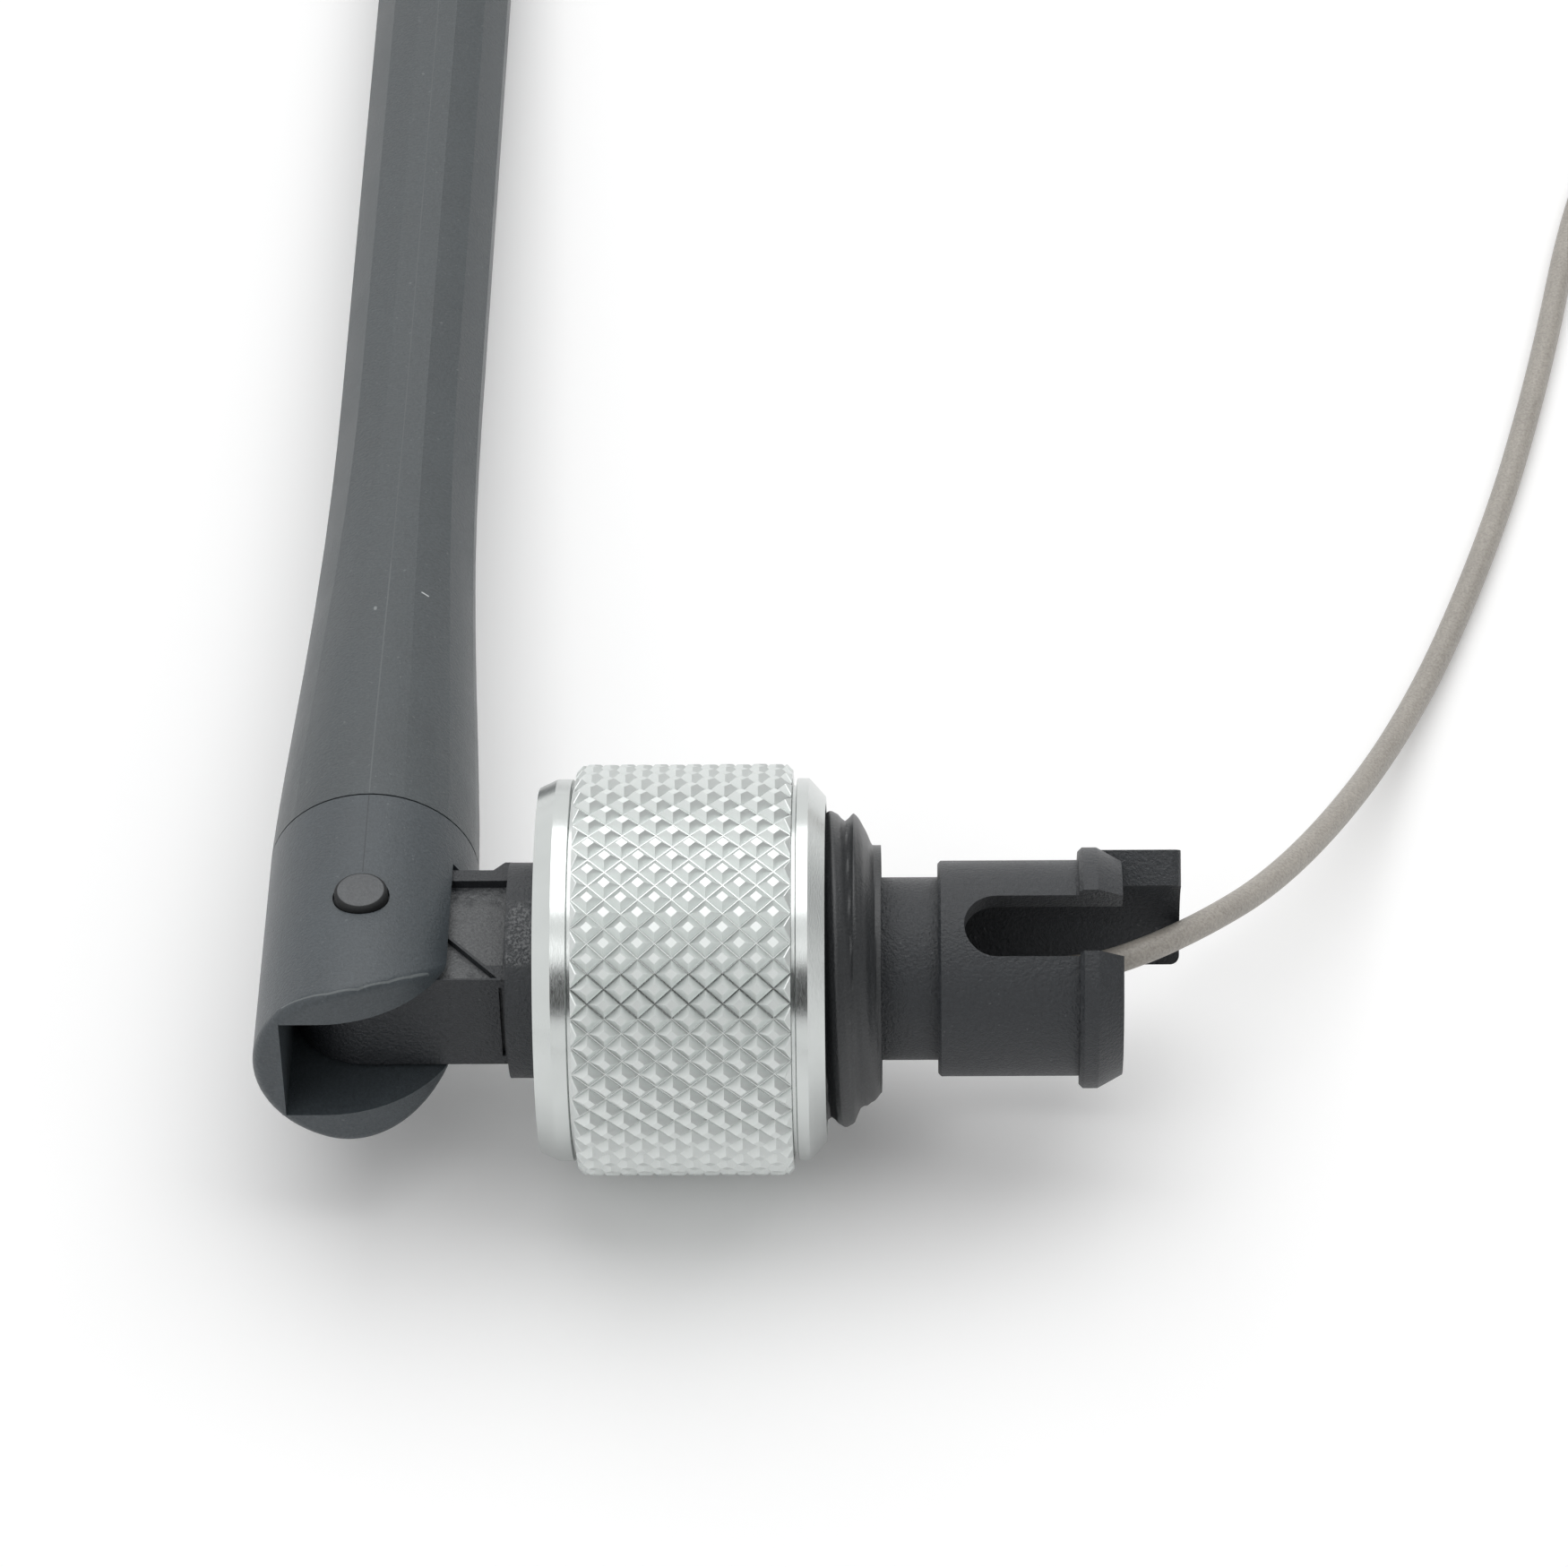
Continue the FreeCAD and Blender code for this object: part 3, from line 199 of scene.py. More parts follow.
class StudioSettings(bpy.types.PropertyGroup):
    """Camera and lamps"""

    camera_place: FloatVectorProperty(
        name="Camera", description="Where the camera stands", default=(0.00462, -0.224697, 0.247989),
        subtype="TRANSLATION", unit="LENGTH", size=3)
    camera_target: FloatVectorProperty(
        name="Target", description="Point at the middle of the picture",
        default=(-0.002229, 0.013035, -0.000552), subtype="TRANSLATION", unit="LENGTH", size=3)
    camera_roll: FloatProperty(
        name="Roll", description="Turn of the camera about its view", default=-0.025823, subtype="ANGLE")
    lens: FloatProperty(
        name="Lens", description="Focal length in mm on a 36 mm sensor", default=157.76)
    key_power: FloatProperty(
        name="Key", description="Power of the main softbox in watts", default=3.2, min=0)
    fill_power: FloatProperty(
        name="Fill", description="Power of the fill softbox in watts", default=0.25, min=0)
    world_strength: FloatProperty(
        name="World", description="Strength of the surrounding light", default=0.5, min=0)


class AntennaSettings(bpy.types.PropertyGroup):
    """All sizes and colours of the antenna"""

    ring: PointerProperty(type=RingSizes)
    thread: PointerProperty(type=ThreadSizes)
    colours: PointerProperty(type=PlasticColours)
    lead: PointerProperty(type=LeadSizes)
    studio: PointerProperty(type=StudioSettings)


def scaled(values, factor):
    """Each value times the factor, as a tuple."""
    return tuple(value * factor for value in values)


def new_material(name, base_color, roughness, metallic=0.0):
    """A node material whose constant values stand on the shader's own sockets."""
    material = bpy.data.materials.new(name)
    material.use_nodes = True
    shader = material.node_tree.nodes["Principled BSDF"]
    shader.inputs["Base Color"].default_value = (*base_color, 1)
    shader.inputs["Roughness"].default_value = roughness
    shader.inputs["Metallic"].default_value = metallic
    return material, material.node_tree, shader


def group_socket(tree, name, in_out, kind, default=None):
    """Adds an input or output to a node group."""
    socket = tree.interface.new_socket(name=name, in_out=in_out, socket_type="NodeSocket" + kind)
    if default is not None:
        socket.default_value = default


def math_node(tree, operation, first, second=None, clamp=False):
    """Math node fed by sockets or numbers; returns its output socket."""
    node = tree.nodes.new("ShaderNodeMath")
    node.operation = operation
    node.use_clamp = clamp
    for index, value in enumerate((first, second)):
        if value is None:
            continue
        if isinstance(value, (int, float)):
            node.inputs[index].default_value = value
        else:
            tree.links.new(value, node.inputs[index])
    return node.outputs[0]


def noise_node(tree, vector, scale, detail=2.0, roughness=0.5):
    """Noise from 0 to 1 over a place; the scale is a number or a socket."""
    node = tree.nodes.new("ShaderNodeTexNoise")
    node.inputs["Detail"].default_value = detail
    node.inputs["Roughness"].default_value = roughness
    if isinstance(scale, (int, float)):
        node.inputs["Scale"].default_value = scale
    else:
        tree.links.new(scale, node.inputs["Scale"])
    tree.links.new(vector, node.inputs["Vector"])
    return node.outputs["Fac"]


def map_node(tree, value, low, high, out_low=0.0, out_high=1.0):
    """Maps a value's range to another one, clamped at both ends."""
    node = tree.nodes.new("ShaderNodeMapRange")
    for name, number in (("From Min", low), ("From Max", high), ("To Min", out_low), ("To Max", out_high)):
        node.inputs[name].default_value = number
    tree.links.new(value, node.inputs["Value"])
    return node.outputs["Result"]


def mix_colours(tree, factor, first, second):
    """Mixes two colours, given as sockets or tuples."""
    node = tree.nodes.new("ShaderNodeMix")
    node.data_type = "RGBA"
    tree.links.new(factor, node.inputs["Factor"])
    for socket, value in (("A", first), ("B", second)):
        target = next(s for s in node.inputs if s.name == socket and s.type == "RGBA")
        if isinstance(value, tuple):
            target.default_value = (*value, 1)
        else:
            tree.links.new(value, target)
    return next(s for s in node.outputs if s.type == "RGBA")


def bump_normal(tree, height, distance, strength):
    """Surface direction bent by a height."""
    node = tree.nodes.new("ShaderNodeBump")
    node.inputs["Strength"].default_value = strength
    node.inputs["Distance"].default_value = distance
    tree.links.new(height, node.inputs["Height"])
    return node.outputs["Normal"]


def object_place(tree):
    """Place on the piece, in its own frame."""
    return tree.nodes.new("ShaderNodeTexCoord").outputs["Object"]


def vector_node(tree, operation, first, second=None, output="Vector"):
    """Vector math node fed by sockets or plain vectors; returns the asked output."""
    node = tree.nodes.new("ShaderNodeVectorMath")
    node.operation = operation
    for index, value in enumerate((first, second)):
        if isinstance(value, tuple):
            node.inputs[index].default_value = value
        elif value is not None:
            tree.links.new(value, node.inputs[index])
    return node.outputs[output]


def scale_node(tree, vector, factor):
    """A vector or colour times a factor, both sockets."""
    node = tree.nodes.new("ShaderNodeVectorMath")
    node.operation = "SCALE"
    tree.links.new(vector, node.inputs[0])
    tree.links.new(factor, node.inputs["Scale"])
    return node.outputs[0]


def split_node(tree, vector):
    """The three components of a vector."""
    node = tree.nodes.new("ShaderNodeSeparateXYZ")
    tree.links.new(vector, node.inputs[0])
    return node.outputs


def upward(tree):
    """How far the surface looks up, from -1 to 1."""
    geometry = tree.nodes.new("ShaderNodeNewGeometry")
    return split_node(tree, geometry.outputs["True Normal"])["Z"]


def moulded_texture_group():
    """Spark-eroded mould texture: height, roughness and colour that vary over the surface."""
    tree = bpy.data.node_groups.new("moulded texture", "ShaderNodeTree")
    group_socket(tree, "Base", "INPUT", "Color", (0.1, 0.1, 0.1, 1))
    group_socket(tree, "Grain Scale", "INPUT", "Float", 9000.0)
    group_socket(tree, "Roughness", "INPUT", "Float", 0.5)
    group_socket(tree, "Dust", "INPUT", "Float", 0.1)
    group_socket(tree, "Color", "OUTPUT", "Color")
    group_socket(tree, "Roughness", "OUTPUT", "Float")
    group_socket(tree, "Height", "OUTPUT", "Float")
    given = tree.nodes.new("NodeGroupInput")
    result = tree.nodes.new("NodeGroupOutput")
    place = object_place(tree)
    fine = noise_node(tree, place, given.outputs["Grain Scale"], 3.0, 0.65)
    broad = noise_node(tree, place, 220.0, 3.0, 0.6)
    specks = map_node(tree, noise_node(tree, place, 3800.0, 1.0), 0.74, 0.78)
    mottled = map_node(tree, broad, 0.3, 0.7, 0.93, 1.07)
    grain_tone = map_node(tree, fine, 0.3, 0.7, 0.78, 1.22)
    tone = math_node(tree, "MULTIPLY", mottled, grain_tone)
    toned = scale_node(tree, given.outputs["Base"], tone)
    dust = math_node(tree, "MULTIPLY", specks, given.outputs["Dust"])
    tree.links.new(mix_colours(tree, dust, toned, DUST_COLOUR), result.inputs["Color"])
    uneven = map_node(tree, broad, 0.3, 0.7, 0.9, 1.1)
    rough = math_node(tree, "MULTIPLY", given.outputs["Roughness"], uneven)
    tree.links.new(rough, result.inputs["Roughness"])
    tree.links.new(fine, result.inputs["Height"])
    return tree


def hinge_place(tree):
    """Places counted from the hinge, turned so that Z runs along its axis."""
    from_hinge = vector_node(tree, "SUBTRACT", object_place(tree), tuple(PIVOT))
    turn = tree.nodes.new("ShaderNodeVectorRotate")
    turn.rotation_type = "X_AXIS"
    turn.inputs["Angle"].default_value = REST_ROLL
    tree.links.new(from_hinge, turn.inputs["Vector"])
    return turn.outputs["Vector"]


def mark_group():
    """Mask of a straight mark on the upper side, from one place to another in plan."""
    tree = bpy.data.node_groups.new("surface mark", "ShaderNodeTree")
    group_socket(tree, "Start", "INPUT", "Vector")
    group_socket(tree, "End", "INPUT", "Vector")
    group_socket(tree, "Width", "INPUT", "Float", 0.0001)
    group_socket(tree, "Mask", "OUTPUT", "Float")
    given = tree.nodes.new("NodeGroupInput")
    result = tree.nodes.new("NodeGroupOutput")
    place = hinge_place(tree)
    flat = vector_node(tree, "MULTIPLY", place, (1, 1, 0))
    from_start = vector_node(tree, "SUBTRACT", flat, given.outputs["Start"])
    whole = vector_node(tree, "SUBTRACT", given.outputs["End"], given.outputs["Start"])
    reach = math_node(tree, "DIVIDE", vector_node(tree, "DOT_PRODUCT", from_start, whole, "Value"),
                      vector_node(tree, "DOT_PRODUCT", whole, whole, "Value"), clamp=True)
    nearest = scale_node(tree, whole, reach)
    from_line = vector_node(tree, "SUBTRACT", from_start, nearest)
    away = vector_node(tree, "LENGTH", from_line, None, "Value")
    share = math_node(tree, "DIVIDE", away, given.outputs["Width"])
    line = map_node(tree, share, 0.35, 0.6, 1.0, 0.0)
    facing = map_node(tree, upward(tree), 0.3, 0.5)
    height = vector_node(tree, "DOT_PRODUCT", place, (0, 0, 1), "Value")
    upper = math_node(tree, "MULTIPLY", facing, map_node(tree, height, 0.0, 0.0005))
    tree.links.new(math_node(tree, "MULTIPLY", line, upper), result.inputs["Mask"])
    return tree


def patch_group():
    """Mask of a rubbed patch in a box round a place, even or broken into specks."""
    tree = bpy.data.node_groups.new("rubbed patch", "ShaderNodeTree")
    group_socket(tree, "Centre", "INPUT", "Vector")
    group_socket(tree, "Half Size", "INPUT", "Vector", (0.001, 0.001, 0.001))
    group_socket(tree, "Speckle", "INPUT", "Float", 1.0)
    group_socket(tree, "Mask", "OUTPUT", "Float")
    given = tree.nodes.new("NodeGroupInput")
    result = tree.nodes.new("NodeGroupOutput")
    away = vector_node(tree, "SUBTRACT", hinge_place(tree), given.outputs["Centre"])
    share = vector_node(tree, "ABSOLUTE", vector_node(tree, "DIVIDE", away, given.outputs["Half Size"]))
    across, along, upright = split_node(tree, share)
    widest = math_node(tree, "MAXIMUM", math_node(tree, "MAXIMUM", across, along), upright)
    ragged = map_node(tree, noise_node(tree, object_place(tree), 1400.0, 3.0), 0.3, 0.7, -0.3, 0.3)
    inside = map_node(tree, math_node(tree, "ADD", widest, ragged), 0.6, 1.0, 1.0, 0.0)
    specks = map_node(tree, noise_node(tree, object_place(tree), 8000.0, 3.0, 0.7), 0.47, 0.58)
    gaps = math_node(tree, "MULTIPLY", math_node(tree, "SUBTRACT", 1.0, specks), given.outputs["Speckle"])
    whole = math_node(tree, "MULTIPLY", inside, math_node(tree, "SUBTRACT", 1.0, gaps))
    facing = map_node(tree, upward(tree), 0.5, 0.8)
    tree.links.new(math_node(tree, "MULTIPLY", whole, facing), result.inputs["Mask"])
    return tree


def place_group(tree, name, **inputs):
    """Places a shared node group with its own values; returns the node."""
    node = tree.nodes.new("ShaderNodeGroup")
    node.node_tree = bpy.data.node_groups[name]
    for socket, value in inputs.items():
        node.inputs[socket.replace("_", " ").title()].default_value = value
    return node


def moulded_plastic(name, base_color, roughness, grain=7000.0, dust=0.1, depth=0.00006,
                    marks=(), patches=()):
    """Moulded plastic with its mould's fine texture, dust, marks and rubbed patches."""
    material, tree, shader = new_material(name, base_color, roughness)
    texture = place_group(tree, "moulded texture", base=(*base_color, 1), grain_scale=grain,
                          roughness=roughness, dust=dust)
    colour = texture.outputs["Color"]
    for start, end, width, shade in marks:
        mark = place_group(tree, "surface mark", start=(*scaled(start, MM), 0.0),
                           end=(*scaled(end, MM), 0.0), width=width * MM)
        colour = mix_colours(tree, mark.outputs["Mask"], colour, shade)
    for centre, half_size, speckle, shade in patches:
        patch = place_group(tree, "rubbed patch", centre=scaled(centre, MM),
                            half_size=scaled(half_size, MM), speckle=speckle)
        colour = mix_colours(tree, patch.outputs["Mask"], colour, shade)
    tree.links.new(colour, shader.inputs["Base Color"])
    tree.links.new(texture.outputs["Roughness"], shader.inputs["Roughness"])
    tree.links.new(bump_normal(tree, texture.outputs["Height"], depth, 0.6), shader.inputs["Normal"])
    return material


def anodised_aluminium(name, base_color, knurl_from, knurl_to):
    """Aluminium with a fine turned grain, duller on the knurl's diamonds and burnished in its grooves,
    whose colour is darker as painted shade.
    """
    material, tree, shader = new_material(name, base_color, 0.28, 1.0)
    place = object_place(tree)
    broad = noise_node(tree, place, 300.0, 3.0, 0.6)
    fine = noise_node(tree, vector_node(tree, "MULTIPLY", place, (6.0, 1.0, 1.0)), 3500.0, 2.0, 0.6)
    along = vector_node(tree, "DOT_PRODUCT", place, (1, 0, 0), "Value")
    from_middle = math_node(tree, "SUBTRACT", along, (knurl_from + knurl_to) / 2)
    beyond = math_node(tree, "ABSOLUTE", from_middle)
    half = abs(knurl_to - knurl_from) / 2
    knurled = map_node(tree, beyond, half, half + 0.05 * MM, 1.0, 0.0)
    from_axis = vector_node(tree, "MULTIPLY", place, (0, 1, 1))
    radius = vector_node(tree, "LENGTH", from_axis, None, "Value")
    deep = map_node(tree, radius, GROOVE_RADIUS + 0.03 * MM, GROOVE_RADIUS + 0.12 * MM, 1.0, 0.0)
    grooves = math_node(tree, "MULTIPLY", deep, knurled)
    diamonds = math_node(tree, "SUBTRACT", knurled, grooves)
    satin = map_node(tree, fine, 0.3, 0.7, 0.18, 0.26)
    rough = math_node(tree, "ADD", satin, math_node(tree, "MULTIPLY", diamonds, 0.28))
    tree.links.new(rough, shader.inputs["Roughness"])
    cloudy = map_node(tree, broad, 0.35, 0.65)
    tone = mix_colours(tree, cloudy, scaled(base_color, 0.95), base_color)
    tone = mix_colours(tree, knurled, tone, scaled(base_color, 1.12))
    # Painted shade: the grooves' colour is darker than the diamonds'
    tone = mix_colours(tree, grooves, tone, scaled(base_color, 0.95))
    tree.links.new(tone, shader.inputs["Base Color"])
    tree.links.new(bump_normal(tree, fine, 0.000006, 0.5), shader.inputs["Normal"])
    return material


def plated_metal(name, base_color, roughness, grain):
    """Plated or bare metal with slight tarnish."""
    material, tree, shader = new_material(name, base_color, roughness, 1.0)
    place = object_place(tree)
    tarnish = map_node(tree, noise_node(tree, place, 700.0, 4.0, 0.6), 0.35, 0.7)
    tone = mix_colours(tree, tarnish, base_color, scaled(base_color, 0.7))
    tree.links.new(tone, shader.inputs["Base Color"])
    rough = map_node(tree, tarnish, 0.0, 1.0, roughness, roughness * 1.5)
    tree.links.new(rough, shader.inputs["Roughness"])
    bumps = bump_normal(tree, noise_node(tree, place, grain, 2.0), 0.000005, 0.5)
    tree.links.new(bumps, shader.inputs["Normal"])
    return material


def board_laminate(name):
    """Green glass-fibre laminate with its weave."""
    base = (0.03, 0.16, 0.05)
    material, tree, shader = new_material(name, base, 0.35)
    wave = tree.nodes.new("ShaderNodeTexWave")
    wave.inputs["Scale"].default_value = 1500.0
    tree.links.new(object_place(tree), wave.inputs["Vector"])
    weave = wave.outputs["Fac"]
    tree.links.new(mix_colours(tree, weave, base, (0.06, 0.24, 0.09)), shader.inputs["Base Color"])
    tree.links.new(bump_normal(tree, weave, 0.00001, 0.4), shader.inputs["Normal"])
    return material


def dress(node, material):
    """Gives every material slot of a CAD node its finish."""
    piece = frame["nodes"][node]
    for index in range(max(1, len(piece.material_slots))):
        if piece.material_slots:
            piece.material_slots[index].material = material
        else:
            piece.data.materials.append(material)


def soften(node, width, angle):
    """Rounds the edges of a CAD node; the angle in degrees says how sharp an edge has to be."""
    piece = frame["nodes"][node]
    weld = piece.modifiers.new("weld", "WELD")
    weld.merge_threshold = 0.000001
    bevel = piece.modifiers.new("edges", "BEVEL")
    bevel.width = width
    bevel.segments = 1
    bevel.limit_method = "ANGLE"
    bevel.angle_limit = math.radians(angle)
    crisp = piece.modifiers.new("crisp", "EDGE_SPLIT")
    crisp.split_angle = math.radians(18)


def mesh_piece(name, bm, material, smooth_angle=None):
    """Turns a bmesh into a finished object in the scene."""
    mesh = bpy.data.meshes.new(name)
    bmesh.ops.recalc_face_normals(bm, faces=bm.faces)
    bm.to_mesh(mesh)
    bm.free()
    mesh.materials.append(material)
    piece = bpy.data.objects.new(name, mesh)
    bpy.context.scene.collection.objects.link(piece)
    if smooth_angle is not None:
        mesh.polygons.foreach_set("use_smooth", [True] * len(mesh.polygons))
        mesh.set_sharp_from_angle(angle=smooth_angle)
    return piece


def ring_points(bm, x, radius, count):
    """A circle of vertices about the stem's axis."""
    return [bm.verts.new((x, radius * math.sin(math.tau * i / count),
                          radius * math.cos(math.tau * i / count))) for i in range(count)]


def skin(bm, first, second):
    """Quads between two circles of vertices."""
    count = len(first)
    for i in range(count):
        bm.faces.new((first[i], first[(i + 1) % count], second[(i + 1) % count], second[i]))


def turned_skin(bm, profile, count):
    """Turned surface through (x, radius) stations."""
    circles = [ring_points(bm, x, radius, count) for x, radius in profile]
    for first, second in zip(circles, circles[1:]):
        skin(bm, first, second)
    return circles


class ANTENNA_OT_materials(bpy.types.Operator):
    """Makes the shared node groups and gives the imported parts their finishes"""

    bl_idname = "antenna.materials"
    bl_label = "Finishes"

    def execute(self, context):
        colours = context.scene.antenna.colours
        moulded_texture_group()
        mark_group()
        patch_group()
        blade = moulded_plastic("blade plastic", tuple(colours.blade), 0.42, dust=0.12,
                                marks=BLADE_MARKS)
        barrel = moulded_plastic("barrel plastic", tuple(colours.barrel), 0.4, dust=0.1,
                                 marks=BARREL_MARKS)
        stem = moulded_plastic("stem plastic", tuple(colours.stem), 0.42, grain=6000.0, dust=0.08,
                               depth=0.00018, patches=STEM_PATCHES)
        pin = moulded_plastic("pin head", tuple(colours.pin), 0.32, dust=0.1)
        # Painted shadow round the edge of each pin's head
        self.painted_rim_shadow(pin)
        solder = plated_metal("solder", (0.6, 0.6, 0.58), 0.25, 3000.0)
        copper = plated_metal("copper foil", (0.72, 0.36, 0.22), 0.3, 2000.0)
        gold = plated_metal("gold plate", (0.85, 0.6, 0.28), 0.22, 5000.0)
        socket = moulded_plastic("plug plastic", (0.75, 0.74, 0.7), 0.4)
        jacket = moulded_plastic("cable jacket", tuple(colours.cable), 0.38, dust=0.1)
        finishes = {
            "blade_sleeve": blade,
            "hinge_barrel": barrel,
            "stem": stem,
            "pivot_pin_upper": pin,
            "pivot_pin_lower": pin,
            "radiator_board": board_laminate("board laminate"),
            "ground_element": copper,
            "radiating_element": copper,
            "shield_solder": solder,
            "feed_solder": solder,
            "blade_cable": jacket,
            "stem_cable": jacket,
            "plug_shell": gold,
            "plug_contact": gold,
            "plug_insulator": socket,
        }
        for node, material in finishes.items():
            dress(node, material)
        return {"FINISHED"}

    def painted_rim_shadow(self, material):
        """Painted shadow: the edge of a pin's head painted dark, for the shade in the gap round it."""
        tree = material.node_tree
        shader = tree.nodes["Principled BSDF"]
        head = shader.inputs["Base Color"].links[0].from_socket
        flat = vector_node(tree, "MULTIPLY", hinge_place(tree), (1, 1, 0))
        from_axis = vector_node(tree, "LENGTH", flat, None, "Value")
        # Painted shadow: near black beyond this radius on the head
        rim = map_node(tree, from_axis, PIN_RIM_MM * MM, (PIN_RIM_MM + 0.05) * MM)
        tree.links.new(mix_colours(tree, rim, head, (0.008, 0.009, 0.01)), shader.inputs["Base Color"])
        gloss = map_node(tree, rim, 0.0, 1.0, 0.32, 0.8)
        tree.links.new(gloss, shader.inputs["Roughness"])


class ANTENNA_OT_ring(bpy.types.Operator):
    """Gives the knurled aluminium ring its metal and burnished edges"""

    bl_idname = "antenna.ring"
    bl_label = "Knurled Ring"

    def execute(self, context):
        sizes = context.scene.antenna.ring
        metal = anodised_aluminium("anodised aluminium", tuple(sizes.metal_colour), KNURL_FROM, KNURL_TO)
        dress("knurled_ring", metal)
        soften("knurled_ring", sizes.edge_width, 80)
        return {"FINISHED"}


class ANTENNA_OT_thread(bpy.types.Operator):
    """Builds the threaded boss and its core"""

    bl_idname = "antenna.thread"
    bl_label = "Threaded Boss"

    def execute(self, context):
        settings = context.scene.antenna
        sizes = settings.thread
        black = moulded_plastic("boss plastic", tuple(settings.colours.thread), 0.36, dust=0.06)
        around = 144
        rows_per_turn = 20
        crest_share = 0.08
        flank_share = 0.42
        bore = THREAD_BORE_MM * MM
        wall = 0.06 * MM
        start = THREAD_OUTLINE_MM[0][0] * MM
        tip = CORE_HIGH[0]
        length = tip - start
        rows = int(round(length / sizes.pitch * rows_per_turn))
        bm = bmesh.new()
        circles = []
        for row in range(rows + 1):
            x = start + length * row / rows
            circle = []
            for column in range(around):
                turn = column / around
                phase = ((x - FIRST_CREST_MM * MM) / sizes.pitch + turn) % 1.0
                from_crest = min(phase, 1.0 - phase)
                groove = max(0.0, (from_crest - crest_share) / flank_share) ** 1.2
                ripple = sizes.ripple * (1 - math.cos(4 * math.tau * from_crest)) / 2
                radius = self.outline(x / MM) * MM - sizes.depth * groove - ripple
                radius = max(bore + wall, radius)
                angle = math.tau * turn
                circle.append(bm.verts.new((x, radius * math.sin(angle), radius * math.cos(angle))))
            circles.append(circle)
        for first, second in zip(circles, circles[1:]):
            skin(bm, first, second)
        left = CORE_LOW[0]
        flange = FLANGE_RADIUS_MM * MM
        inside = turned_skin(bm, [(tip, bore), (left, bore), (left, flange), (start, flange)], around)
        skin(bm, circles[-1], inside[0])
        skin(bm, inside[-1], circles[0])
        boss = mesh_piece("boss_thread", bm, black, math.radians(35))
        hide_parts("screw_core")
        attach(boss, "ring")
        return {"FINISHED"}

    def outline(self, x):
        """Radius over the crests at a place along the axis, in mm."""
        for (near, near_radius), (far, far_radius) in zip(THREAD_OUTLINE_MM, THREAD_OUTLINE_MM[1:]):
            if x <= far:
                share = (x - near) / (far - near)
                return near_radius + (far_radius - near_radius) * share
        return THREAD_OUTLINE_MM[-1][1]


class ANTENNA_OT_lead(bpy.types.Operator):
    """Lays the coaxial lead from the collar to its coil and plug"""

    bl_idname = "antenna.lead"
    bl_label = "Coaxial Lead"

    def execute(self, context):
        sizes = context.scene.antenna.lead
        points = [scaled(point, MM) for point in LEAD_ROUTE_MM]
        points += self.coil_points(sizes)
        points += [scaled(point, MM) for point in TAIL_ROUTE_MM]
        curve = bpy.data.curves.new("lead", "CURVE")
        curve.dimensions = "3D"
        curve.resolution_u = 16
        # The points carry the lead's radius, because the curve's box is measured with it
        curve.bevel_depth = 1.0
        curve.bevel_resolution = 6
        curve.use_fill_caps = True
        spline = curve.splines.new("NURBS")
        spline.points.add(len(points) - 1)
        for control, place in zip(spline.points, points):
            control.co = (*place, 1)
            control.radius = sizes.diameter / 2
        spline.order_u = 3
        spline.use_endpoint_u = True
        curve.materials.append(bpy.data.materials["cable jacket"])
        lead = bpy.data.objects.new("lead", curve)
        context.scene.collection.objects.link(lead)
        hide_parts("antenna_lead", "lead_coil", "lead_tail")
        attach(lead, "stem")
        self.spline_length(lead)
        return {"FINISHED"}

    def coil_points(self, sizes):
        """Control points of the coil: a wide turn, a narrower one beside it, and half a turn on top."""
        per_turn = sizes.turn_points
        half_step = math.pi / per_turn
        swell = 2 / (1 + math.cos(half_step * 2))
        diameter = sizes.diameter / MM
        points = []
        for index in range(int(per_turn * sizes.turns) + 1):
            turn = index / per_turn
            angle = math.pi - math.tau * turn
            inner_share = min(1.0, max(0.0, turn - 0.9) / 0.2)
            top_share = min(1.0, max(0.0, turn - 1.85) / 0.25)
            radius = COIL_OUTER_TURN_MM - diameter * inner_share + diameter / 2 * top_share
            height = COIL_LOW_MM + (COIL_HIGH_MM - COIL_LOW_MM) * top_share
            points.append(((COIL_CENTRE_MM[0] + radius * swell * math.cos(angle)) * MM,
                           (COIL_CENTRE_MM[1] + radius * swell * math.sin(angle)) * MM, height * MM))
        return points

    def spline_length(self, lead):
        """Length of the lead's own line."""
        bevel = lead.data.bevel_depth
        lead.data.bevel_depth = 0
        line = bpy.data.meshes.new_from_object(lead)
        lead.data.bevel_depth = bevel
        total = sum((line.vertices[a].co - line.vertices[b].co).length for a, b in
                    (edge.vertices for edge in line.edges))
        bpy.data.meshes.remove(line)
        return total


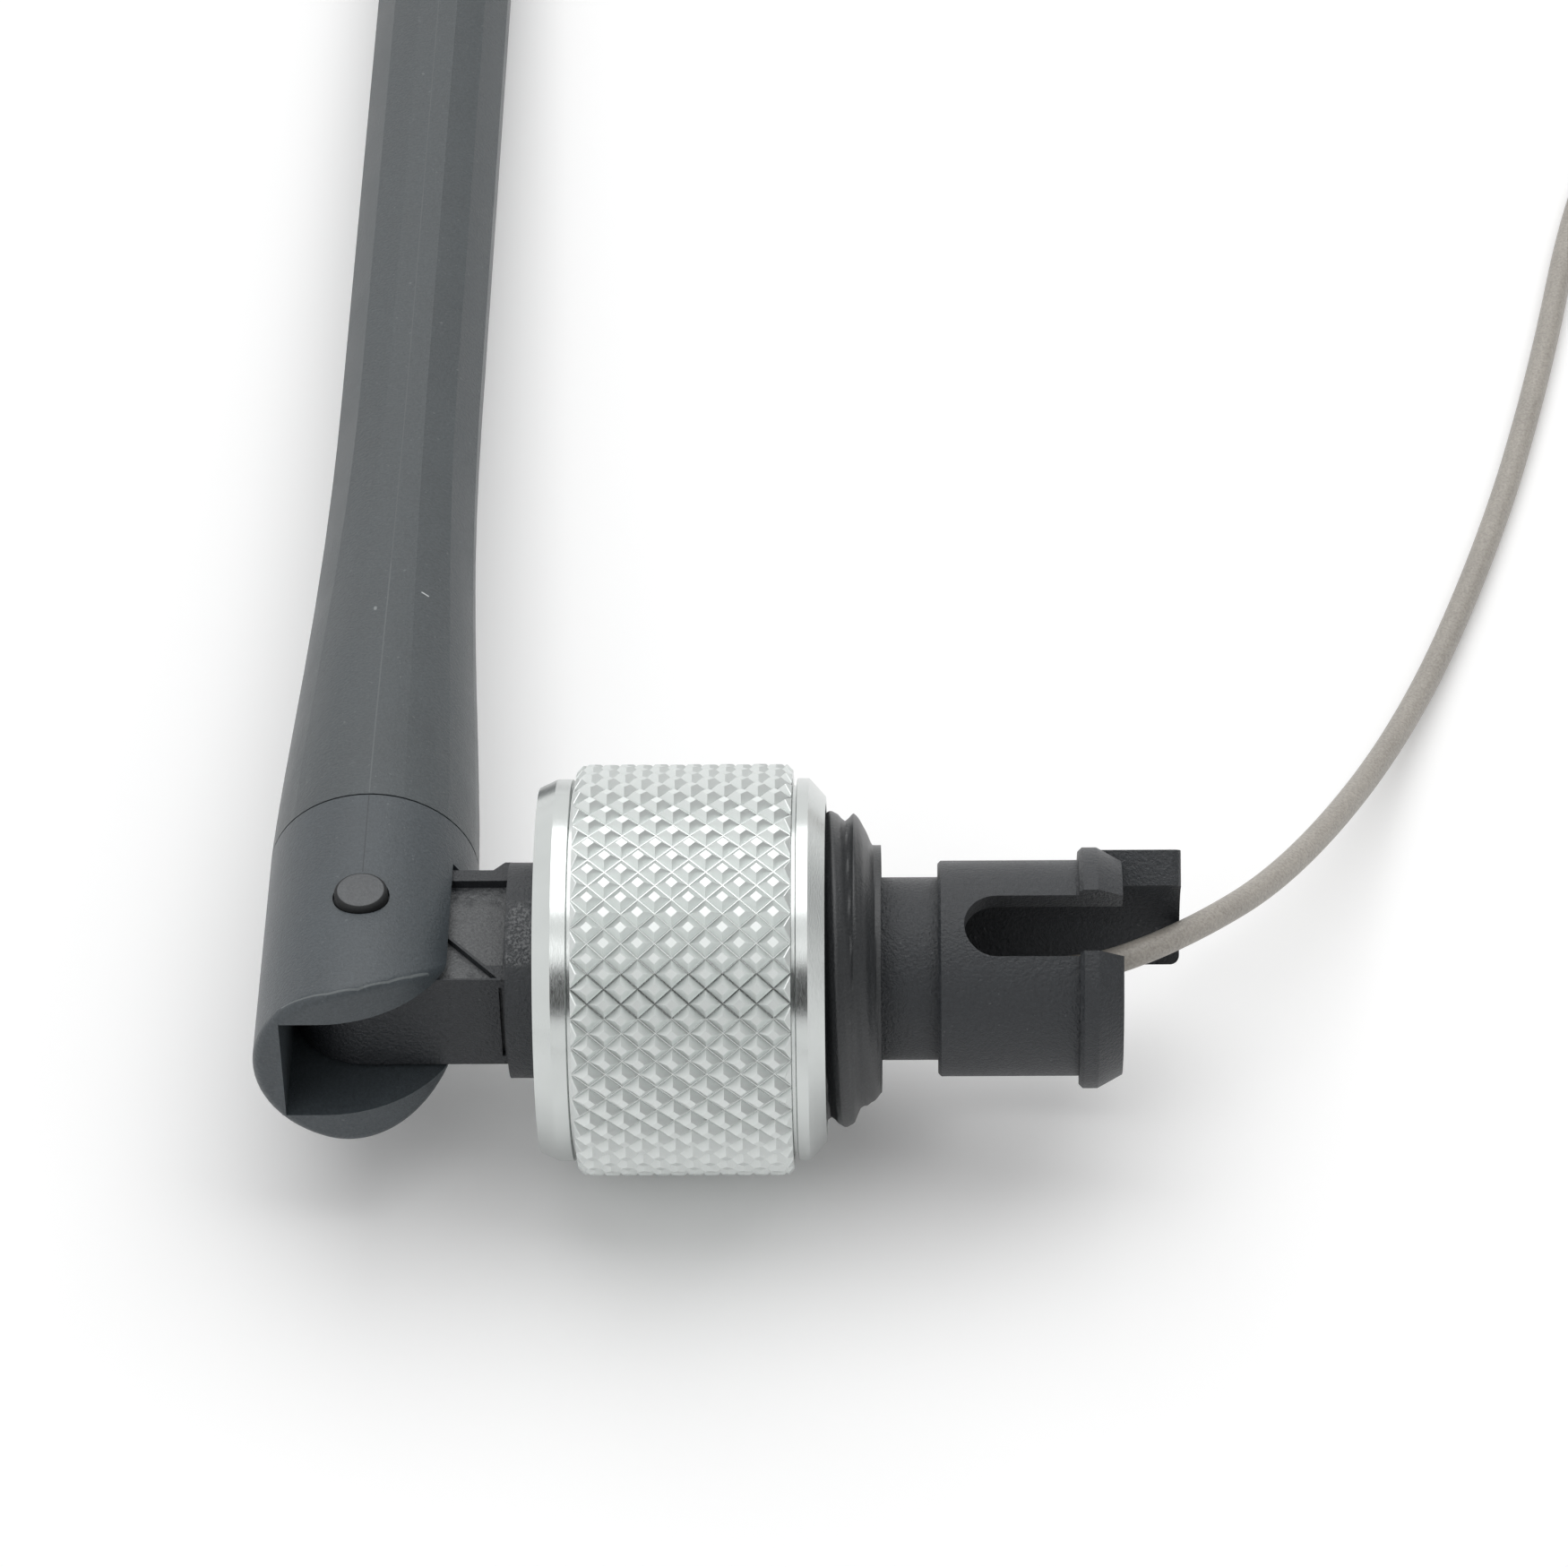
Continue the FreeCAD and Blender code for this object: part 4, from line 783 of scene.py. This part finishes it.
class ANTENNA_OT_studio(bpy.types.Operator):
    """Sets the floor, the softboxes, the surroundings and the camera"""

    bl_idname = "antenna.studio"
    bl_label = "Studio"

    def execute(self, context):
        settings = context.scene.antenna.studio
        self.floor()
        self.softbox("key_softbox", (0.06, 0.24, 0.62), 0.90, 0.74, settings.key_power)
        self.softbox("fill_softbox", (-0.20, -0.30, 0.45), 0.30, 0.30, settings.fill_power)
        self.flag_card()
        self.surroundings(settings)
        self.camera(context, settings)
        context.scene.view_settings.view_transform = "Standard"
        return {"FINISHED"}

    def floor(self):
        """White paper floor that the part lies on."""
        bm = bmesh.new()
        reach = 1.5
        corners = [(-reach, -reach), (reach, -reach), (reach, reach), (-reach, reach)]
        bm.faces.new([bm.verts.new((x, y, FLOOR_HEIGHT)) for x, y in corners])
        material, tree, shader = new_material("studio floor", (0.93, 0.93, 0.93), 0.6)
        broad = noise_node(tree, object_place(tree), 8.0)
        paper = mix_colours(tree, broad, (0.92, 0.92, 0.925), (0.94, 0.94, 0.94))
        seen = self.seen(tree, tree.nodes.new("ShaderNodeLightPath"))
        white = (0.995, 0.995, 0.995)
        tree.links.new(mix_colours(tree, seen, paper, white), shader.inputs["Base Color"])
        shader.inputs["Emission Color"].default_value = (1, 1, 1, 1)
        tree.links.new(math_node(tree, "MULTIPLY", seen, 0.05), shader.inputs["Emission Strength"])
        floor = mesh_piece("studio_floor", bm, material)

    def seen(self, tree, rays):
        """One for rays that show the background: straight, mirrored or through glass."""
        through = rays.outputs["Is Transmission Ray"]
        straight = math_node(tree, "MAXIMUM", rays.outputs["Is Camera Ray"], through)
        return math_node(tree, "MAXIMUM", straight, rays.outputs["Is Glossy Ray"])

    def flag_card(self):
        """Black card behind the camera; the polished bands show it as a dark patch."""
        bm = bmesh.new()
        corners = [(-0.10, -0.44, 0.16), (0.10, -0.44, 0.16), (0.10, -0.34, 0.40), (-0.10, -0.34, 0.40)]
        bm.faces.new([bm.verts.new(place) for place in corners])
        black = new_material("black card", (0.01, 0.01, 0.01), 0.9)[0]
        card = mesh_piece("flag_card", bm, black)

    def softbox(self, name, place, width, height, power):
        """Area lamp that looks at the hinge."""
        target = Vector((0.0, 0.02, 0.0))
        lamp = bpy.data.lights.new(name, "AREA")
        lamp.shape = "RECTANGLE"
        lamp.size = width
        lamp.size_y = height
        lamp.energy = power
        box = bpy.data.objects.new(name, lamp)
        box.location = place
        aim = target - Vector(place)
        box.rotation_euler = aim.to_track_quat("-Z", "Y").to_euler()
        bpy.context.scene.collection.objects.link(box)

    def surroundings(self, settings):
        """White surroundings: weaker as light than as they look."""
        world = bpy.data.worlds.new("studio")
        world.use_nodes = True
        bpy.context.scene.world = world
        tree = world.node_tree
        background = tree.nodes["Background"]
        rays = tree.nodes.new("ShaderNodeLightPath")
        strength = tree.nodes.new("ShaderNodeMix")
        tree.links.new(self.seen(tree, rays), strength.inputs[0])
        strength.inputs[2].default_value = settings.world_strength
        tree.links.new(self.dark_side(tree, rays), strength.inputs[3])
        tree.links.new(strength.outputs[0], background.inputs["Strength"])
        background.inputs["Color"].default_value = (1, 1, 1, 1)

    def dark_side(self, tree, rays):
        """Strength of the seen surroundings: white, and dim at the right in reflections."""
        direction = split_node(tree, tree.nodes.new("ShaderNodeTexCoord").outputs["Generated"])
        right = map_node(tree, direction["X"], 0.1, 0.6)
        high = map_node(tree, direction["Z"], 0.0, 0.08)
        side = math_node(tree, "MULTIPLY", right, high)
        dimmed = math_node(tree, "MULTIPLY", side, rays.outputs["Is Glossy Ray"])
        return map_node(tree, dimmed, 0.0, 1.0, 1.0, 0.35)

    def camera(self, context, settings):
        """Camera fitted to the photo."""
        data = bpy.data.cameras.new("camera")
        data.lens = settings.lens
        data.sensor_width = 36
        data.sensor_fit = "HORIZONTAL"
        data.clip_start = 0.01
        data.clip_end = 10
        camera = bpy.data.objects.new("camera", data)
        place = Vector(settings.camera_place)
        aim = Vector(settings.camera_target) - place
        turn = aim.to_track_quat("-Z", "Y").to_matrix().to_4x4()
        roll = Matrix.Rotation(settings.camera_roll, 4, "Z")
        camera.matrix_world = Matrix.Translation(place) @ turn @ roll
        context.scene.collection.objects.link(camera)
        context.scene.camera = camera


class ANTENNA_PT_panel(bpy.types.Panel):
    """Lists the antenna's settings and the buttons of its steps"""

    bl_idname = "ANTENNA_PT_panel"
    bl_label = "Folding Antenna"
    bl_space_type = "VIEW_3D"
    bl_region_type = "UI"
    bl_category = "Antenna"

    def draw(self, context):
        settings = context.scene.antenna
        for group in ("ring", "thread", "colours", "lead", "studio"):
            sizes = getattr(settings, group)
            box = self.layout.box()
            for name in sizes.__annotations__:
                box.prop(sizes, name)
        for operator in OPERATORS:
            self.layout.operator(operator.bl_idname)


SETTINGS = (RingSizes, ThreadSizes, PlasticColours, LeadSizes, StudioSettings, AntennaSettings)
OPERATORS = (
    ANTENNA_OT_materials,
    ANTENNA_OT_lead,
    ANTENNA_OT_ring,
    ANTENNA_OT_thread,
    ANTENNA_OT_studio,
)


def register():
    for entry in (*SETTINGS, *OPERATORS, ANTENNA_PT_panel):
        bpy.utils.register_class(entry)
    bpy.types.Scene.antenna = PointerProperty(type=AntennaSettings)


def unregister():
    del bpy.types.Scene.antenna
    for entry in reversed((*SETTINGS, *OPERATORS, ANTENNA_PT_panel)):
        bpy.utils.unregister_class(entry)


def main():
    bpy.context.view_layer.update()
    register()
    bpy.ops.antenna.materials()
    bpy.ops.antenna.lead()
    bpy.ops.antenna.ring()
    bpy.ops.antenna.thread()
    bpy.ops.antenna.studio()


if __name__ == "__main__":
    main()
